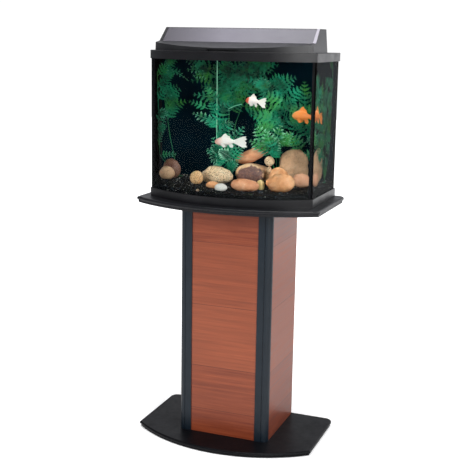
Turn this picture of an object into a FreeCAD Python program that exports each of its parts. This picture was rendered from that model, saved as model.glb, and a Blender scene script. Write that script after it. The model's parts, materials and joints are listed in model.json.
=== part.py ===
import FreeCAD, Part
import math
import os
from FreeCAD import Vector

# A bow-front glass aquarium on a pedestal stand, under a plastic hood with a light.
# Millimetres. +Z is up, +X is to the right and -Y is the bowed front.
# The origin is on the floor, in the middle of the whole object's box.

# ------------------------------------------------------------------ driving sizes: tank
tank_width = 514.0               # over the plastic frames
tank_side_depth = 243.5          # straight side, from the back to a front corner
tank_bow = 89.0                  # how far the front swells past its corners
tank_height = 436.0
frame_height = 25.0              # both plastic frames
frame_wall = 2.5
frame_rim_width = 12.0           # the flat rim seen from above
frame_rim_thickness = 2.7
frame_ledge_width = 9.0          # ledge inside the rim, which carries the hood
frame_ledge_drop = 12.0          # ledge below the rim
frame_lip = 4.0                  # rim's inner wall below the ledge
frame_foot = 8.0                 # bottom glass stands this far above the stand
foot_ledge_width = 18.0
frame_web = 2.5
frame_edge = 1.2                 # rounding of the rim's outer edge
glass_thickness = 5.0
floor_glass_thickness = 6.0
glass_play = 0.3                 # glass to frame
silicone_gap = 0.6               # between two panes
silicone_bead = 6.0
bead_edge = 0.8                  # thickness of the floor bead's upper edge
film_thickness = 0.25
film_margin = 1.0                # film inside the frame, at the sides
film_gap = 0.5                   # film to the frames, above and below

# ------------------------------------------------------------------ driving sizes: stand
column_width = 290.0
column_depth = 254.0
column_height = 711.0
column_back_inset = 19.0         # column behind the tank's back, measured forwards
panel_thickness = 16.0
post_flange = 22.0               # flat front face of a corner post
post_radius = 18.0               # rounded corner of a post
post_lap = 12.0                  # post over the front panel's edge
post_skin = 2.0                  # post in front of the front panel
post_groove = 1.5
slot_play = 0.3
reveal = 2.5                     # dark groove behind a post
side_inset = 1.0
top_overhang = 31.0              # top plate past the tank, at the sides and front
top_rear_overhang = 15.0
top_thickness = 18.0
base_width = 567.0
base_side_depth = 261.0
base_bow = 102.0
base_back_inset = 11.0
base_thickness = 16.0
glide_height = 2.0
glide_radius = 12.0
glide_edge = 0.8                 # rounding of its foot
glide_nail_radius = 1.2
glide_nail_length = 9.0
glide_side_share = 0.82          # glides out along the base, as a share of its half width
glide_bow_share = 0.28
glide_back_inset = 35.0
glide_corner_inset = 25.0
glide_bow_inset = 45.0
plate_step = 4.0                 # lower band of a plate, set back
plate_band = 7.0                 # height of that band
plate_nose = 5.0                 # rounding of a plate's nose
plate_back_radius = 25.0
shelf_height = 345.0             # underside of the shelf above the base
shelf_play = 0.6
stretcher_height = 80.0
cleat_size = 20.0
cleat_length = 170.0
dowel_radius = 4.0
dowel_half_length = 13.0
cam_radius = 7.5
cam_depth = 12.0
cam_setback = 24.0
cam_slot_length = 7.0            # screwdriver slot
cam_slot_width = 1.2
cam_slot_depth = 2.0
cam_bolt_overlap = 2.0           # bolt's end past the cam's axis
cam_bolt_radius = 3.0
cam_bolt_grip = 11.0             # bolt screwed into the side panel
wood_screw_radius = 1.9
wood_screw_head = 4.0
wood_screw_bite = 12.0
shelf_pin_radius = 2.5
shelf_pin_length = 8.0           # each way from the panel's face
shelf_collar_radius = 4.5
shelf_collar_thickness = 1.2
shelf_pin_shares = (0.2, 0.8)    # along the shelf, front to back
fixing_shares = (0.12, 0.5, 0.88)        # three fixings along a joint
side_screw_shares = (0.3, 0.7)           # two along a cleat, into the side panel
rest_gap = 0.3                   # between pieces that are set down on each other

# ------------------------------------------------------------------ driving sizes: hood
hood_inset = 13.0                # hood wall inside the tank's outline
hood_wall = 2.5
hood_play = 0.3
hood_sink = 2.0                  # hood deck below the rim
feed_border = 12.0               # deck left around the feed opening
crease_setback = 31.0            # lid's hinge line behind the front corners of the tank
crease_rise = 27.0               # crease above the rim
lid_front_rise = 10.0            # lid above the rim, at the middle of the front
cheek_width = 12.0               # fixed end of the hood beside the lid
lid_play = 0.5                   # each end of the lid
hinge_gap = 1.2                  # lid's barrel to the fascia
barrel_radius = 6.0
lid_pin_radius = 2.0
lid_pin_running_play = 0.05
lid_pin_reach = 7.0              # pin past the lid's end
lid_pin_grip = 16.0              # pin inside the lid
lid_pin_sleeve = 1.8             # wall of the sleeve around the pin in the end cap
finger_width = 95.0
finger_depth = 11.0
finger_rise = 5.5                # above the lid's lower edge
light_rise = 67.0                # top of the light housing above the rim
light_run = 42.0                 # slope from the crease to the top
light_top = 68.0                 # flat top, front to back
light_back_lean = 4.5
end_lean = 4.5                   # each end of the hood leans in by this at the top
fascia_recess = 0.8
seam = 0.4                       # around the fascia
lens_margin = 5.0
lens_thickness = 2.5
lens_length = 426.0
lens_width = 56.0
lens_screw_radius = 1.0
lens_screw_head = 2.0
lens_screw_head_height = 1.2
lens_screw_inset = 20.0
rear_strip_play = 0.6
rear_ledge = 10.0
score_count = 7                  # lines along which the rear strip is trimmed
score_width = 1.0
score_depth = 0.8
lamp_radius = 13.0               # 26 mm fluorescent tube
lamp_length = 437.4              # between the faces of its caps
lamp_cap_length = 12.0
lamp_pin_radius = 1.2
lamp_pin_length = 7.0
lamp_pin_spacing = 12.7
lamp_clearance = 8.0             # tube above the deck
lamp_setback = 52.0              # lamp's axis behind the crease
holder_thickness = 9.0
holder_half_width = 13.0
rotor_radius = 8.4
lamp_wall = 1.0
lamp_cap_wall = 0.5
lamp_cap_edge = 1.5
lamp_end_play = 0.5              # cap to lampholder
reflector_sheet = 0.8
reflector_play = 5.0             # over the tube
reflector_end = 3.0              # short of the tube's end
reflector_lift = 3.0             # over the lens
reflector_skirt = 2.0            # past the lens, front and back
reflector_flat = 8.0             # top past the tube, front and back
ballast_length = 120.0
ballast_width = 34.0
ballast_edge = 1.5
ballast_clearance = 1.0          # under the fascia
ear_length = 12.0                # mounting ear at each end of the ballast
ear_width = 16.0
ear_thickness = 1.2
ear_screw_radius = 1.5
ear_screw_head = 3.0
ear_screw_length = 3.6
switch_width = 21.0
switch_height = 15.0
switch_depth = 12.0
switch_wall = 1.6
switch_lip = 1.0                 # bezel past its opening
switch_fit = 0.1
rocker_play = 0.5
rocker_angle = 9.0               # each way
rocker_sink = 2.5                # pivot behind the bezel's face
rocker_crown = 2.2               # rocker over its pivot
rocker_heel = 1.0                # and under it
switch_x = -150.0
inlet_x = 190.0
inlet_radius = 3.6
grommet_radius = 6.0
grommet_flange = 1.6
grommet_wall = 1.5
grommet_end = 1.0                # tube past its flange
service_drop = 13.5              # switch and inlet below the housing's top
housing_screw_radius = 1.5
housing_screw_head = 3.0
housing_screw_head_height = 2.0
housing_screw_length = 14.0
boss_radius = 3.6
boss_height = 18.0
boss_bore = 13.0
boss_web = 2.0
boss_web_height = 16.0
boss_gap = 1.0                   # boss to the wall of the cheek
boss_front_inset = 6.0
boss_back_inset = 8.0
wire_radius = 1.1
wire_spread = 14.0               # leads in front of and behind the lamp's axis
wire_gap = 13.0                  # leads to the ballast's end

# ------------------------------------------------------------------ driving sizes: contents
gravel_front = 21.0              # gravel's depth at the front glass
gravel_back = 35.0               # and at the back glass
gravel_play = 0.4
plant_base_height = 7.0
stem_radius = 1.3
blade_thickness = 0.9
# The stones and plants were laid out on a floor of this size, and follow the tank's own.
layout_half_width = 249.0
layout_depth = 316.0
layout_height = 410.0

fit_play = 0.05                  # screws and dowels in their holes
overshoot = 5.0                  # how far a cutting shape runs past what it cuts

# ------------------------------------------------------------------ derived levels and places
base_low = glide_height
base_top = base_low + base_thickness
column_top = base_top + column_height
plate_top = column_top + top_thickness
tank_low = plate_top + rest_gap
rim = tank_low + tank_height
glass_low = tank_low + frame_foot
floor_top = glass_low + floor_glass_thickness
ledge_top = rim - frame_ledge_drop

front_reach = max(base_back_inset + base_side_depth + base_bow,
                  tank_side_depth + top_overhang + tank_bow)
tank_back = (front_reach - top_rear_overhang) / 2
tank_corner = tank_back - tank_side_depth
column_back = tank_back - column_back_inset
column_front = column_back - column_depth
post_width = post_flange + post_radius
post_depth = post_skin + slot_play + panel_thickness + slot_play + post_skin


# ------------------------------------------------------------------ shapes that repeat
def block(x0, x1, y0, y1, z0, z1):
    return Part.makeBox(x1 - x0, y1 - y0, z1 - z0, Vector(x0, y0, z0))


def prism(points, direction):
    face = Part.Face(Part.makePolygon(points + [points[0]]))
    return face.extrude(direction)


def rod(start, end, radius):
    return Part.makeCylinder(radius, start.distanceToPoint(end), start, end - start)


def flat_edges(shape, level):
    return [edge for edge in shape.Edges
            if abs(edge.BoundBox.ZMin - level) < 0.01 and abs(edge.BoundBox.ZMax - level) < 0.01]


def both_sides(shape):
    return [shape, shape.mirror(Vector(0, 0, 0), Vector(1, 0, 0))]


def save(name, shape):
    solids = shape.Solids
    result = solids[0] if len(solids) == 1 else Part.makeCompound(solids)
    if not result.isValid():
        print("not valid:", name)
    result.exportStep("parts/" + name + ".step")
    print(name, len(solids), round(result.Volume))


class BowPlan:
    """An outline seen from above: straight back and sides, and a front that is one arc."""

    def __init__(self, half_width, back, corner, bow):
        self.half_width = half_width
        self.back = back
        self.corner = corner
        self.front = corner - bow
        self.radius = (half_width ** 2 + bow ** 2) / (2 * bow)
        self.centre = self.front + self.radius

    def inset(self, distance):
        radius = self.radius - distance
        half_width = self.half_width - distance
        corner = self.centre - math.sqrt(radius ** 2 - half_width ** 2)
        return BowPlan(half_width, self.back - distance, corner, corner - self.centre + radius)

    def front_at(self, x):
        return self.centre - math.sqrt(self.radius ** 2 - x ** 2)

    def wire(self, z):
        left_back = Vector(-self.half_width, self.back, z)
        left_front = Vector(-self.half_width, self.corner, z)
        right_front = Vector(self.half_width, self.corner, z)
        right_back = Vector(self.half_width, self.back, z)
        arc = Part.Arc(left_front, Vector(0, self.front, z), right_front).toShape()
        return Part.Wire([Part.makeLine(left_back, left_front), arc,
                          Part.makeLine(right_front, right_back),
                          Part.makeLine(right_back, left_back)])

    def prism(self, low, high, back_radius=0.0):
        solid = Part.Face(self.wire(low)).extrude(Vector(0, 0, high - low))
        if back_radius > 0:
            back_edges = [edge for edge in solid.Edges
                          if edge.BoundBox.ZLength > high - low - 0.01
                          and edge.BoundBox.YMin > self.back - 0.01]
            solid = solid.makeFillet(back_radius, back_edges)
        return solid


def ring(plan, outer, inner, low, high):
    """A band that follows a plan, between two distances inside it."""
    return plan.inset(outer).prism(low, high).cut(plan.inset(inner).prism(low - 1, high + 1))


def moulded_plate(plan, low, high):
    """A board with a rounded nose over a narrower band, and rounded corners at the back."""
    nose_low = low + min(plate_band, (high - low) / 2)
    nose = min(plate_nose, (high - nose_low) * 0.45)
    upper = plan.prism(nose_low, high, plate_back_radius)
    upper = upper.makeFillet(nose, flat_edges(upper, high) + flat_edges(upper, nose_low))
    lower = plan.inset(plate_step).prism(low, nose_low, plate_back_radius - plate_step)
    return upper.fuse(lower).removeSplitter()


def countersunk_screw(head, along, length, radius, head_radius):
    """A plain shank under a conical head, whose flat face is at head."""
    direction = Vector(along)
    direction.normalize()
    cone_length = head_radius - radius
    cone = Part.makeCone(head_radius, radius, cone_length, head, direction)
    shank = Part.makeCylinder(radius, length - cone_length, head + direction * cone_length, direction)
    return cone.fuse(shank)


def pan_screw(seat, along, length, radius, head_radius, head_height):
    """A shank that leaves seat along a direction, and a flat head behind it."""
    direction = Vector(along)
    direction.normalize()
    head = Part.makeCylinder(head_radius, head_height, seat - direction * head_height, direction)
    return head.fuse(Part.makeCylinder(radius, length, seat, direction))


# ------------------------------------------------------------------ stand
def make_stand():
    base_back = tank_back - base_back_inset
    base_plan = BowPlan(base_width / 2, base_back, base_back - base_side_depth, base_bow)
    top_plan = BowPlan(tank_width / 2 + top_overhang, tank_back + top_rear_overhang,
                       tank_corner - top_overhang, tank_bow)
    base_plate = moulded_plate(base_plan, base_low, base_top)
    top_plate = moulded_plate(top_plan, column_top, plate_top)

    half = column_width / 2
    post_inner = half - post_width
    panel_front = column_front + post_skin + slot_play
    panel_back = panel_front + panel_thickness
    post_back = column_front + post_depth
    side_outer = half - side_inset
    side_inner = side_outer - panel_thickness

    front_half = post_inner + post_lap - slot_play
    front_panel = block(-front_half, front_half, panel_front, panel_back, base_top, column_top)

    # Corner post: a flat flange, a fine groove, then a quarter round onto the side.
    corner_start = Vector(half - post_radius, column_front, base_top)
    corner_end = Vector(half, column_front + post_radius, base_top)
    swing = post_radius * math.sin(math.radians(45))
    corner_mid = Vector(half - post_radius + swing, column_front + post_radius - swing, base_top)
    inner_front = Vector(post_inner, column_front, base_top)
    inner_back = Vector(post_inner, post_back, base_top)
    outer_back = Vector(half, post_back, base_top)
    outline = Part.Wire([Part.makeLine(inner_front, corner_start),
                         Part.Arc(corner_start, corner_mid, corner_end).toShape(),
                         Part.makeLine(corner_end, outer_back),
                         Part.makeLine(outer_back, inner_back),
                         Part.makeLine(inner_back, inner_front)])
    right_post = Part.Face(outline).extrude(Vector(0, 0, column_height))
    slot = block(post_inner - overshoot, post_inner + post_lap, panel_front - slot_play,
                 panel_back + slot_play, base_top - 1, column_top + 1)
    groove_x = half - post_radius - post_groove
    groove = block(groove_x, groove_x + post_groove, column_front - 1, column_front + post_groove,
                   base_top - 1, column_top + 1)
    right_post = right_post.cut(slot).cut(groove)

    right_side = block(side_inner, side_outer, post_back, column_back, base_top, column_top)
    rebate = block(side_outer - reveal, side_outer + 1, post_back - 1, post_back + reveal,
                   base_top - 1, column_top + 1)
    right_side = right_side.cut(rebate)

    # Dowels between a post and its side panel.
    dowel_x = side_outer - panel_thickness / 2
    dowel_levels = [base_top + column_height * share for share in fixing_shares]
    dowel_reach = min(dowel_half_length, post_width)
    right_dowels = []
    for level in dowel_levels:
        start = Vector(dowel_x, post_back - dowel_reach + post_skin, level)
        right_dowels.append(rod(start, start + Vector(0, 2 * dowel_reach, 0), dowel_radius))
        hole_start = start - Vector(0, 1, 0)
        hole = rod(hole_start, hole_start + Vector(0, 2 * dowel_reach + 2, 0),
                   dowel_radius + fit_play)
        right_post = right_post.cut(hole)
        right_side = right_side.cut(hole)

    # Stretchers across the open back, each pulled to the side panels by a cam at each end.
    stretcher_front = column_back - panel_thickness
    cams = []
    bolts = []
    stretchers = []
    for low in (base_top, column_top - stretcher_height):
        level = low + stretcher_height / 2
        stretcher = block(-side_inner, side_inner, stretcher_front, column_back,
                          low, low + stretcher_height)
        cam_x = side_inner - cam_setback
        bolt_y = stretcher_front + panel_thickness / 2
        for sign in (-1, 1):
            centre = Vector(sign * cam_x, stretcher_front, level)
            pocket = Part.makeCylinder(cam_radius + fit_play, cam_depth, centre, Vector(0, 1, 0))
            stretcher = stretcher.cut(pocket)
            cam = Part.makeCylinder(cam_radius, cam_depth - fit_play, centre, Vector(0, 1, 0))
            cross = block(sign * cam_x - cam_slot_length / 2, sign * cam_x + cam_slot_length / 2,
                          stretcher_front - 1, stretcher_front + cam_slot_depth,
                          level - cam_slot_width / 2, level + cam_slot_width / 2)
            bolt_start = Vector(sign * (cam_x + cam_bolt_overlap), bolt_y, level)
            bolt_end = Vector(sign * (side_inner + cam_bolt_grip), bolt_y, level)
            bolt = rod(bolt_start, bolt_end, cam_bolt_radius)
            bore = rod(bolt_start - Vector(sign, 0, 0), bolt_end + Vector(sign, 0, 0),
                       cam_bolt_radius + fit_play)
            stretcher = stretcher.cut(bore)
            cams.append(cam.cut(cross).cut(bore))
            bolts.append(bolt)
            if sign > 0:
                right_side = right_side.cut(bore)
        stretchers.append(stretcher)

    # The shelf stands on four pins.
    shelf_low = base_top + shelf_height
    shelf_front = post_back + shelf_play
    shelf_back = stretcher_front - shelf_play
    shelf_half = side_inner - shelf_play
    shelf = block(-shelf_half, shelf_half, shelf_front, shelf_back,
                  shelf_low, shelf_low + panel_thickness)
    right_pins = []
    pin_level = shelf_low - shelf_pin_radius
    for share in shelf_pin_shares:
        pin_y = shelf_front + (shelf_back - shelf_front) * share
        start = Vector(side_inner - shelf_pin_length, pin_y, pin_level)
        end = Vector(side_inner + shelf_pin_length, pin_y, pin_level)
        collar = Part.makeCylinder(shelf_collar_radius, shelf_collar_thickness,
                                   Vector(side_inner, pin_y, pin_level), Vector(-1, 0, 0))
        notch = block(side_inner - 2 * shelf_collar_thickness, side_inner,
                      pin_y - 2 * shelf_collar_radius, pin_y + 2 * shelf_collar_radius,
                      shelf_low, pin_level + 2 * shelf_collar_radius)
        pin = rod(start, end, shelf_pin_radius).fuse(collar.cut(notch))
        right_pins.append(pin)
        right_side = right_side.cut(rod(start, end + Vector(0.5, 0, 0),
                                        shelf_pin_radius + fit_play))

    # Cleats screw the side panels to the base and to the top plate.
    cleat_front = post_back + (column_depth - post_depth - panel_thickness - cleat_length) / 2
    screws = []
    cleats = {"top": [], "base": []}
    holes = []
    for where, seat, up in (("top", column_top, 1), ("base", base_top, -1)):
        far = seat - up * cleat_size
        cleat = block(side_inner - cleat_size, side_inner, cleat_front,
                      cleat_front + cleat_length, min(seat, far), max(seat, far))
        for share in fixing_shares:
            y = cleat_front + cleat_length * share
            head = Vector(side_inner - cleat_size / 2, y, far)
            for play, store in ((0.0, screws), (fit_play, holes)):
                store.append(countersunk_screw(head, Vector(0, 0, up),
                                               cleat_size + wood_screw_bite + play,
                                               wood_screw_radius + play, wood_screw_head + play))
        for share in side_screw_shares:
            y = cleat_front + cleat_length * share
            head = Vector(side_inner - cleat_size, y, seat - up * cleat_size / 2)
            for play, store in ((0.0, screws), (fit_play, holes)):
                store.append(countersunk_screw(head, Vector(1, 0, 0),
                                               cleat_size + wood_screw_bite + play,
                                               wood_screw_radius + play, wood_screw_head + play))
        cleats[where] = cleat
    hole_group = Part.makeCompound(holes)
    all_holes = Part.makeCompound(both_sides(hole_group))
    for where in cleats:
        cleats[where] = cleats[where].cut(hole_group)
    right_side = right_side.cut(hole_group)
    top_plate = top_plate.cut(all_holes)
    base_plate = base_plate.cut(all_holes)

    # Nylon glides nailed under the base.
    glides = []
    side_x = glide_side_share * base_width / 2
    bow_x = glide_bow_share * base_width / 2
    for x, y in ((side_x, base_back - glide_back_inset),
                 (side_x, base_plan.corner + glide_corner_inset),
                 (bow_x, base_plan.front_at(bow_x) + glide_bow_inset)):
        pad = Part.makeCylinder(glide_radius, glide_height, Vector(x, y, 0))
        pad = pad.makeFillet(glide_edge, flat_edges(pad, 0))
        nail = Part.makeCylinder(glide_nail_radius, glide_nail_length, Vector(x, y, glide_height))
        nail_hole = Part.makeCylinder(glide_nail_radius + fit_play, glide_nail_length + fit_play,
                                      Vector(x, y, base_low))
        glides += both_sides(pad.fuse(nail))
        for hole in both_sides(nail_hole):
            base_plate = base_plate.cut(hole)

    save("base_plate", base_plate)
    save("base_glides", Part.makeCompound(glides))
    save("top_plate", top_plate)
    save("column_front_panel", front_panel)
    for name, shape in (("column_side_panel", right_side), ("front_corner_post", right_post)):
        right, left = both_sides(shape)
        save(name + "_right", right)
        save(name + "_left", left)
    save("post_dowels", Part.makeCompound(both_sides(Part.makeCompound(right_dowels))))
    save("back_stretchers", Part.makeCompound(stretchers))
    save("cam_locks", Part.makeCompound(cams))
    save("cam_bolts", Part.makeCompound(bolts))
    save("shelf", shelf)
    save("shelf_pins", Part.makeCompound(both_sides(Part.makeCompound(right_pins))))
    right_cleats = Part.makeCompound(list(cleats.values()))
    save("cleats", Part.makeCompound(both_sides(right_cleats)))
    save("cleat_screws", Part.makeCompound(both_sides(Part.makeCompound(screws))))


# ------------------------------------------------------------------ tank
tank_plan = BowPlan(tank_width / 2, tank_back, tank_corner, tank_bow)
glass_outer = frame_wall + glass_play
glass_inner = glass_outer + glass_thickness
inside_plan = tank_plan.inset(glass_inner)
glass_top = rim - frame_rim_thickness - glass_play
rim_wall_low = ledge_top - frame_web - frame_lip


def make_frames():
    """The bottom frame stands on the stand. The top frame has a ledge for the hood."""
    bottom = ring(tank_plan, 0, frame_wall, tank_low, tank_low + frame_height)
    shelf_low = glass_low - frame_web
    bottom = bottom.fuse(ring(tank_plan, 0, foot_ledge_width, shelf_low, glass_low))
    rim_wall = frame_rim_width - frame_web
    top = ring(tank_plan, 0, frame_wall, rim - frame_height, rim)
    top = top.fuse(ring(tank_plan, 0, frame_rim_width, rim - frame_rim_thickness, rim))
    top = top.fuse(ring(tank_plan, rim_wall, frame_rim_width, rim_wall_low, rim))
    top = top.fuse(ring(tank_plan, rim_wall, frame_rim_width + frame_ledge_width,
                        ledge_top - frame_web, ledge_top))
    top = top.removeSplitter()
    outer_edges = [edge for edge in flat_edges(top, rim)
                   if edge.BoundBox.YMin < tank_plan.front + 1
                   or edge.BoundBox.XMin > tank_width / 2 - 0.1
                   or edge.BoundBox.XMax < 0.1 - tank_width / 2
                   or edge.BoundBox.YMin > tank_back - 0.1]
    top = top.makeFillet(frame_edge, outer_edges)
    save("tank_bottom_frame", bottom.removeSplitter())
    save("tank_top_frame", top)


def make_glass():
    walls = ring(tank_plan, glass_outer, glass_inner, glass_low, glass_top)
    reach = tank_width
    front_end = inside_plan.corner
    back_start = inside_plan.back
    front = walls.common(block(-reach, reach, -reach, front_end, 0, 2 * rim))
    back = walls.common(block(-reach, reach, back_start, reach, 0, 2 * rim))
    right = walls.common(block(0, reach, front_end + silicone_gap, back_start - silicone_gap,
                               0, 2 * rim))
    floor_pane = inside_plan.inset(silicone_gap).prism(glass_low, floor_top)
    right_pane, left_pane = both_sides(right)
    save("glass_front", front)
    save("glass_back", back)
    save("glass_right", right_pane)
    save("glass_left", left_pane)
    save("glass_floor", floor_pane)

    # Silicone fills the joints and leaves a bevelled bead along every inside corner.
    joints = block(inside_plan.half_width, inside_plan.half_width + glass_thickness,
                   front_end, front_end + silicone_gap, glass_low, glass_top)
    joints = joints.fuse(block(inside_plan.half_width, inside_plan.half_width + glass_thickness,
                               back_start - silicone_gap, back_start, glass_low, glass_top))
    half = inside_plan.half_width
    bead = silicone_bead
    bead_top = rim_wall_low - glass_play
    spare = glass_thickness / 2
    inside = inside_plan.prism(floor_top, bead_top)
    bead_height = Vector(0, 0, bead_top - floor_top)
    back_bead = prism([Vector(half - bead, back_start + spare, floor_top),
                       Vector(half - bead, back_start, floor_top),
                       Vector(half, back_start - bead, floor_top),
                       Vector(half + spare, back_start - bead, floor_top),
                       Vector(half + spare, back_start + spare, floor_top)], bead_height)
    arc_y = inside_plan.front_at(half - bead)
    front_bead = prism([Vector(half - bead, arc_y - spare, floor_top),
                        Vector(half - bead, arc_y, floor_top),
                        Vector(half, front_end + bead, floor_top),
                        Vector(half + spare, front_end + bead, floor_top),
                        Vector(half + spare, arc_y - spare, floor_top)], bead_height)
    sides = []
    for shape in (joints, back_bead.common(inside), front_bead.common(inside)):
        sides += both_sides(shape)
    skirt = ring(inside_plan, 0, silicone_gap, glass_low, floor_top)
    core = Part.makeLoft([inside_plan.inset(bead).wire(floor_top),
                          inside_plan.inset(bead_edge).wire(floor_top + bead)], True, True)
    floor_bead = inside_plan.prism(floor_top, floor_top + bead).cut(core)
    seams = skirt.fuse([floor_bead] + sides)
    save("silicone_seams", seams.removeSplitter())

    film_half = tank_width / 2 - glass_outer - film_margin
    film_back = tank_back - glass_outer
    save("background_film", block(-film_half, film_half, film_back, film_back + film_thickness,
                                  tank_low + frame_height + film_gap,
                                  rim - frame_height - film_gap))


# ------------------------------------------------------------------ contents of the tank
def layout(x, y, z):
    """A place inside the tank: x from the middle, y from the back glass, z from the floor."""
    return Vector(x * inside_plan.half_width / layout_half_width,
                  inside_plan.back + y * (inside_plan.back - inside_plan.front) / layout_depth,
                  floor_top + z * (glass_top - floor_top) / layout_height)


def stone(x, y, low, width, depth, height, turn=0.0, tilt=0.0, style=0):
    """A faceted boulder: rings of points that swell and wander a little, closed to two poles."""
    sides = 9
    levels = ((0.16, 0.72), (0.42, 1.0), (0.70, 0.88), (0.90, 0.52))
    cos_turn = math.cos(math.radians(turn))
    sin_turn = math.sin(math.radians(turn))
    slope = math.tan(math.radians(tilt))

    def corner(angle, level, reach, lump):
        across = math.cos(angle) * reach * lump * width / 2
        deep = math.sin(angle) * reach * lump * depth / 2
        up = low + level * height + across * slope
        return layout(x + across * cos_turn - deep * sin_turn,
                      y + across * sin_turn + deep * cos_turn, up)

    rings = []
    for index, (level, reach) in enumerate(levels):
        points = []
        for side in range(sides):
            angle = 2 * math.pi * (side + 0.5 * (index % 2)) / sides
            lump = 0.93 + 0.07 * math.sin(3.1 * side + 1.7 * index + 2.3 * style)
            points.append(corner(angle, level, reach, lump))
        rings.append(points)
    bottom = layout(x, y, low)
    top = layout(x, y, low + height)
    faces = []
    for side in range(sides):
        after = (side + 1) % sides
        faces.append((bottom, rings[0][after], rings[0][side]))
        faces.append((top, rings[-1][side], rings[-1][after]))
        for index in range(len(rings) - 1):
            inner, outer = rings[index], rings[index + 1]
            # Odd rings are turned half a step, so the diagonals alternate.
            if index % 2 == 0:
                faces.append((inner[side], inner[after], outer[side]))
                faces.append((outer[side], inner[after], outer[after]))
            else:
                faces.append((inner[side], inner[after], outer[after]))
                faces.append((inner[side], outer[after], outer[side]))
    shell = Part.makeShell([Part.Face(Part.makePolygon([a, b, c, a])) for a, b, c in faces])
    solid = Part.makeSolid(shell)
    if solid.Volume < 0:
        solid.reverse()
    return solid


def gravel_depth(y):
    """The gravel's depth at a distance from the back glass."""
    return gravel_back + (gravel_front - gravel_back) * (-y / layout_depth)


def bed(y, sunk=3.0):
    """The level on which a stone stands, pressed a little into the gravel."""
    return gravel_depth(y) - sunk


def make_stones():
    stones = {
        "stone_tan_boulder": stone(121, -38, bed(-38), 92, 64, 104, 8, 0, 1),
        "stone_leaning_slab": stone(10, -47, 88, 90, 40, 42, 0, 22, 3),
        "stone_dark_face": stone(22, -96, bed(-96), 91, 44, 62, 0, -3, 4),
        "stone_orange_flat": stone(103, -101, bed(-101), 58, 42, 56, 0, 0, 5),
        "stone_orange_front": stone(147, -204, bed(-204), 88, 56, 54, 0, 3, 6),
        "stone_speckled_cream": stone(-60, -128, bed(-128), 94, 52, 54, 0, 0, 8),
        "stone_pink_flat": stone(52, -234, bed(-234), 92, 46, 38, 0, -2, 10),
    }
    small = [
        stone(20, -47, bed(-47), 104, 42, 56, 0, 0, 2),
        stone(171, -108, bed(-108), 58, 40, 42, 0, 0, 7),
        stone(-107, -172, bed(-172), 44, 34, 42, 0, 0, 9),
        stone(66, -72, 82, 28, 20, 30, 0, 0, 11),
        stone(66, -73, bed(-73), 20, 13, 52.5, 0, 0, 18),
        stone(86, -200, bed(-200), 28, 22, 32, 0, 0, 12),
        stone(-10, -260, bed(-260), 42, 26, 24, 0, 0, 13),
        stone(-46, -216, bed(-216), 44, 26, 22, 0, 0, 14),
        stone(-72, -298, bed(-298), 13, 10, 9, 0, 0, 15),
        stone(-209, -124, bed(-124), 54, 38, 42, 0, 0, 16),
        stone(-200, -84, bed(-84), 56, 34, 60, 0, 0, 17),
    ]
    for name in stones:
        save(name, stones[name])
    save("small_stones", Part.makeCompound(small))
    return list(stones.values()) + small


def plant(x, y, base_radius, tips):
    """A weighted base, and stems that fan out to blades at the places in tips."""
    foot_low = bed(y, 4.0)
    foot = Part.makeCone(base_radius, base_radius * 0.6, plant_base_height, layout(x, y, foot_low))
    root = layout(x, y, foot_low) + Vector(0, 0, plant_base_height - 1)
    pieces = [foot]
    for tip_x, tip_y, tip_z, blade_width in tips:
        tip = layout(tip_x, tip_y, tip_z)
        along = tip - root
        pieces.append(rod(root, root + along * 0.97, stem_radius))
        across = Vector(along.z, 0, -along.x)
        across.normalize()
        across = across * blade_width / 2
        middle = root + along * 0.72
        normal = along.cross(across)
        normal.normalize()
        back_off = normal * (-blade_thickness / 2)
        outline = [root + along * 0.45, middle - across, tip, middle + across]
        outline = [point + back_off for point in outline]
        pieces.append(prism(outline, normal * blade_thickness))
    return pieces[0].fuse(pieces[1:])


def make_contents():
    stones = make_stones()
    plants = {
        "plant_left": plant(-190, -44, 20, [
            (-232, -22, 372, 30), (-212, -40, 318, 26), (-190, -20, 378, 30),
            (-162, -30, 350, 28), (-150, -48, 262, 24), (-226, -60, 236, 24)]),
        "plant_middle": plant(-84, -72, 18, [
            (-80, -64, 344, 22), (-122, -84, 160, 26), (-104, -92, 196, 24),
            (-58, -88, 190, 24), (-38, -84, 150, 26)]),
        "plant_tall": plant(-62, -20, 14, [
            (-132, -12, 366, 30), (-96, -22, 382, 30), (-48, -14, 384, 34),
            (6, -18, 380, 34), (46, -14, 366, 30)]),
        "plant_centre_right": plant(68, -11, 8, [
            (34, -12, 350, 28), (74, -20, 352, 34), (112, -14, 330, 30), (96, -30, 262, 30)]),
        "plant_right": plant(200, -42, 18, [
            (150, -34, 336, 30), (176, -58, 286, 30), (208, -30, 322, 28),
            (140, -82, 190, 26), (218, -72, 220, 26), (184, -84, 168, 24)]),
    }
    for name in plants:
        save(name, plants[name])

    bed_plan = inside_plan.inset(silicone_bead + gravel_play)
    bed_low = floor_top + gravel_play / 4
    level = [layout(0, 0, gravel_back), layout(0, -layout_depth, gravel_front)]
    slope = (level[0].z - level[1].z) / (level[0].y - level[1].y)
    reach = tank_width
    profile = [Vector(-reach, level[1].y - reach, level[1].z - slope * reach),
               Vector(-reach, level[0].y + reach, level[0].z + slope * reach),
               Vector(-reach, level[0].y + reach, floor_top - reach),
               Vector(-reach, level[1].y - reach, floor_top - reach)]
    under = prism(profile, Vector(2 * reach, 0, 0))
    gravel = bed_plan.prism(bed_low, floor_top + layout_height).common(under)
    gravel = gravel.cut(stones + [plants[name] for name in plants])
    save("gravel_bed", gravel)


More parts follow.
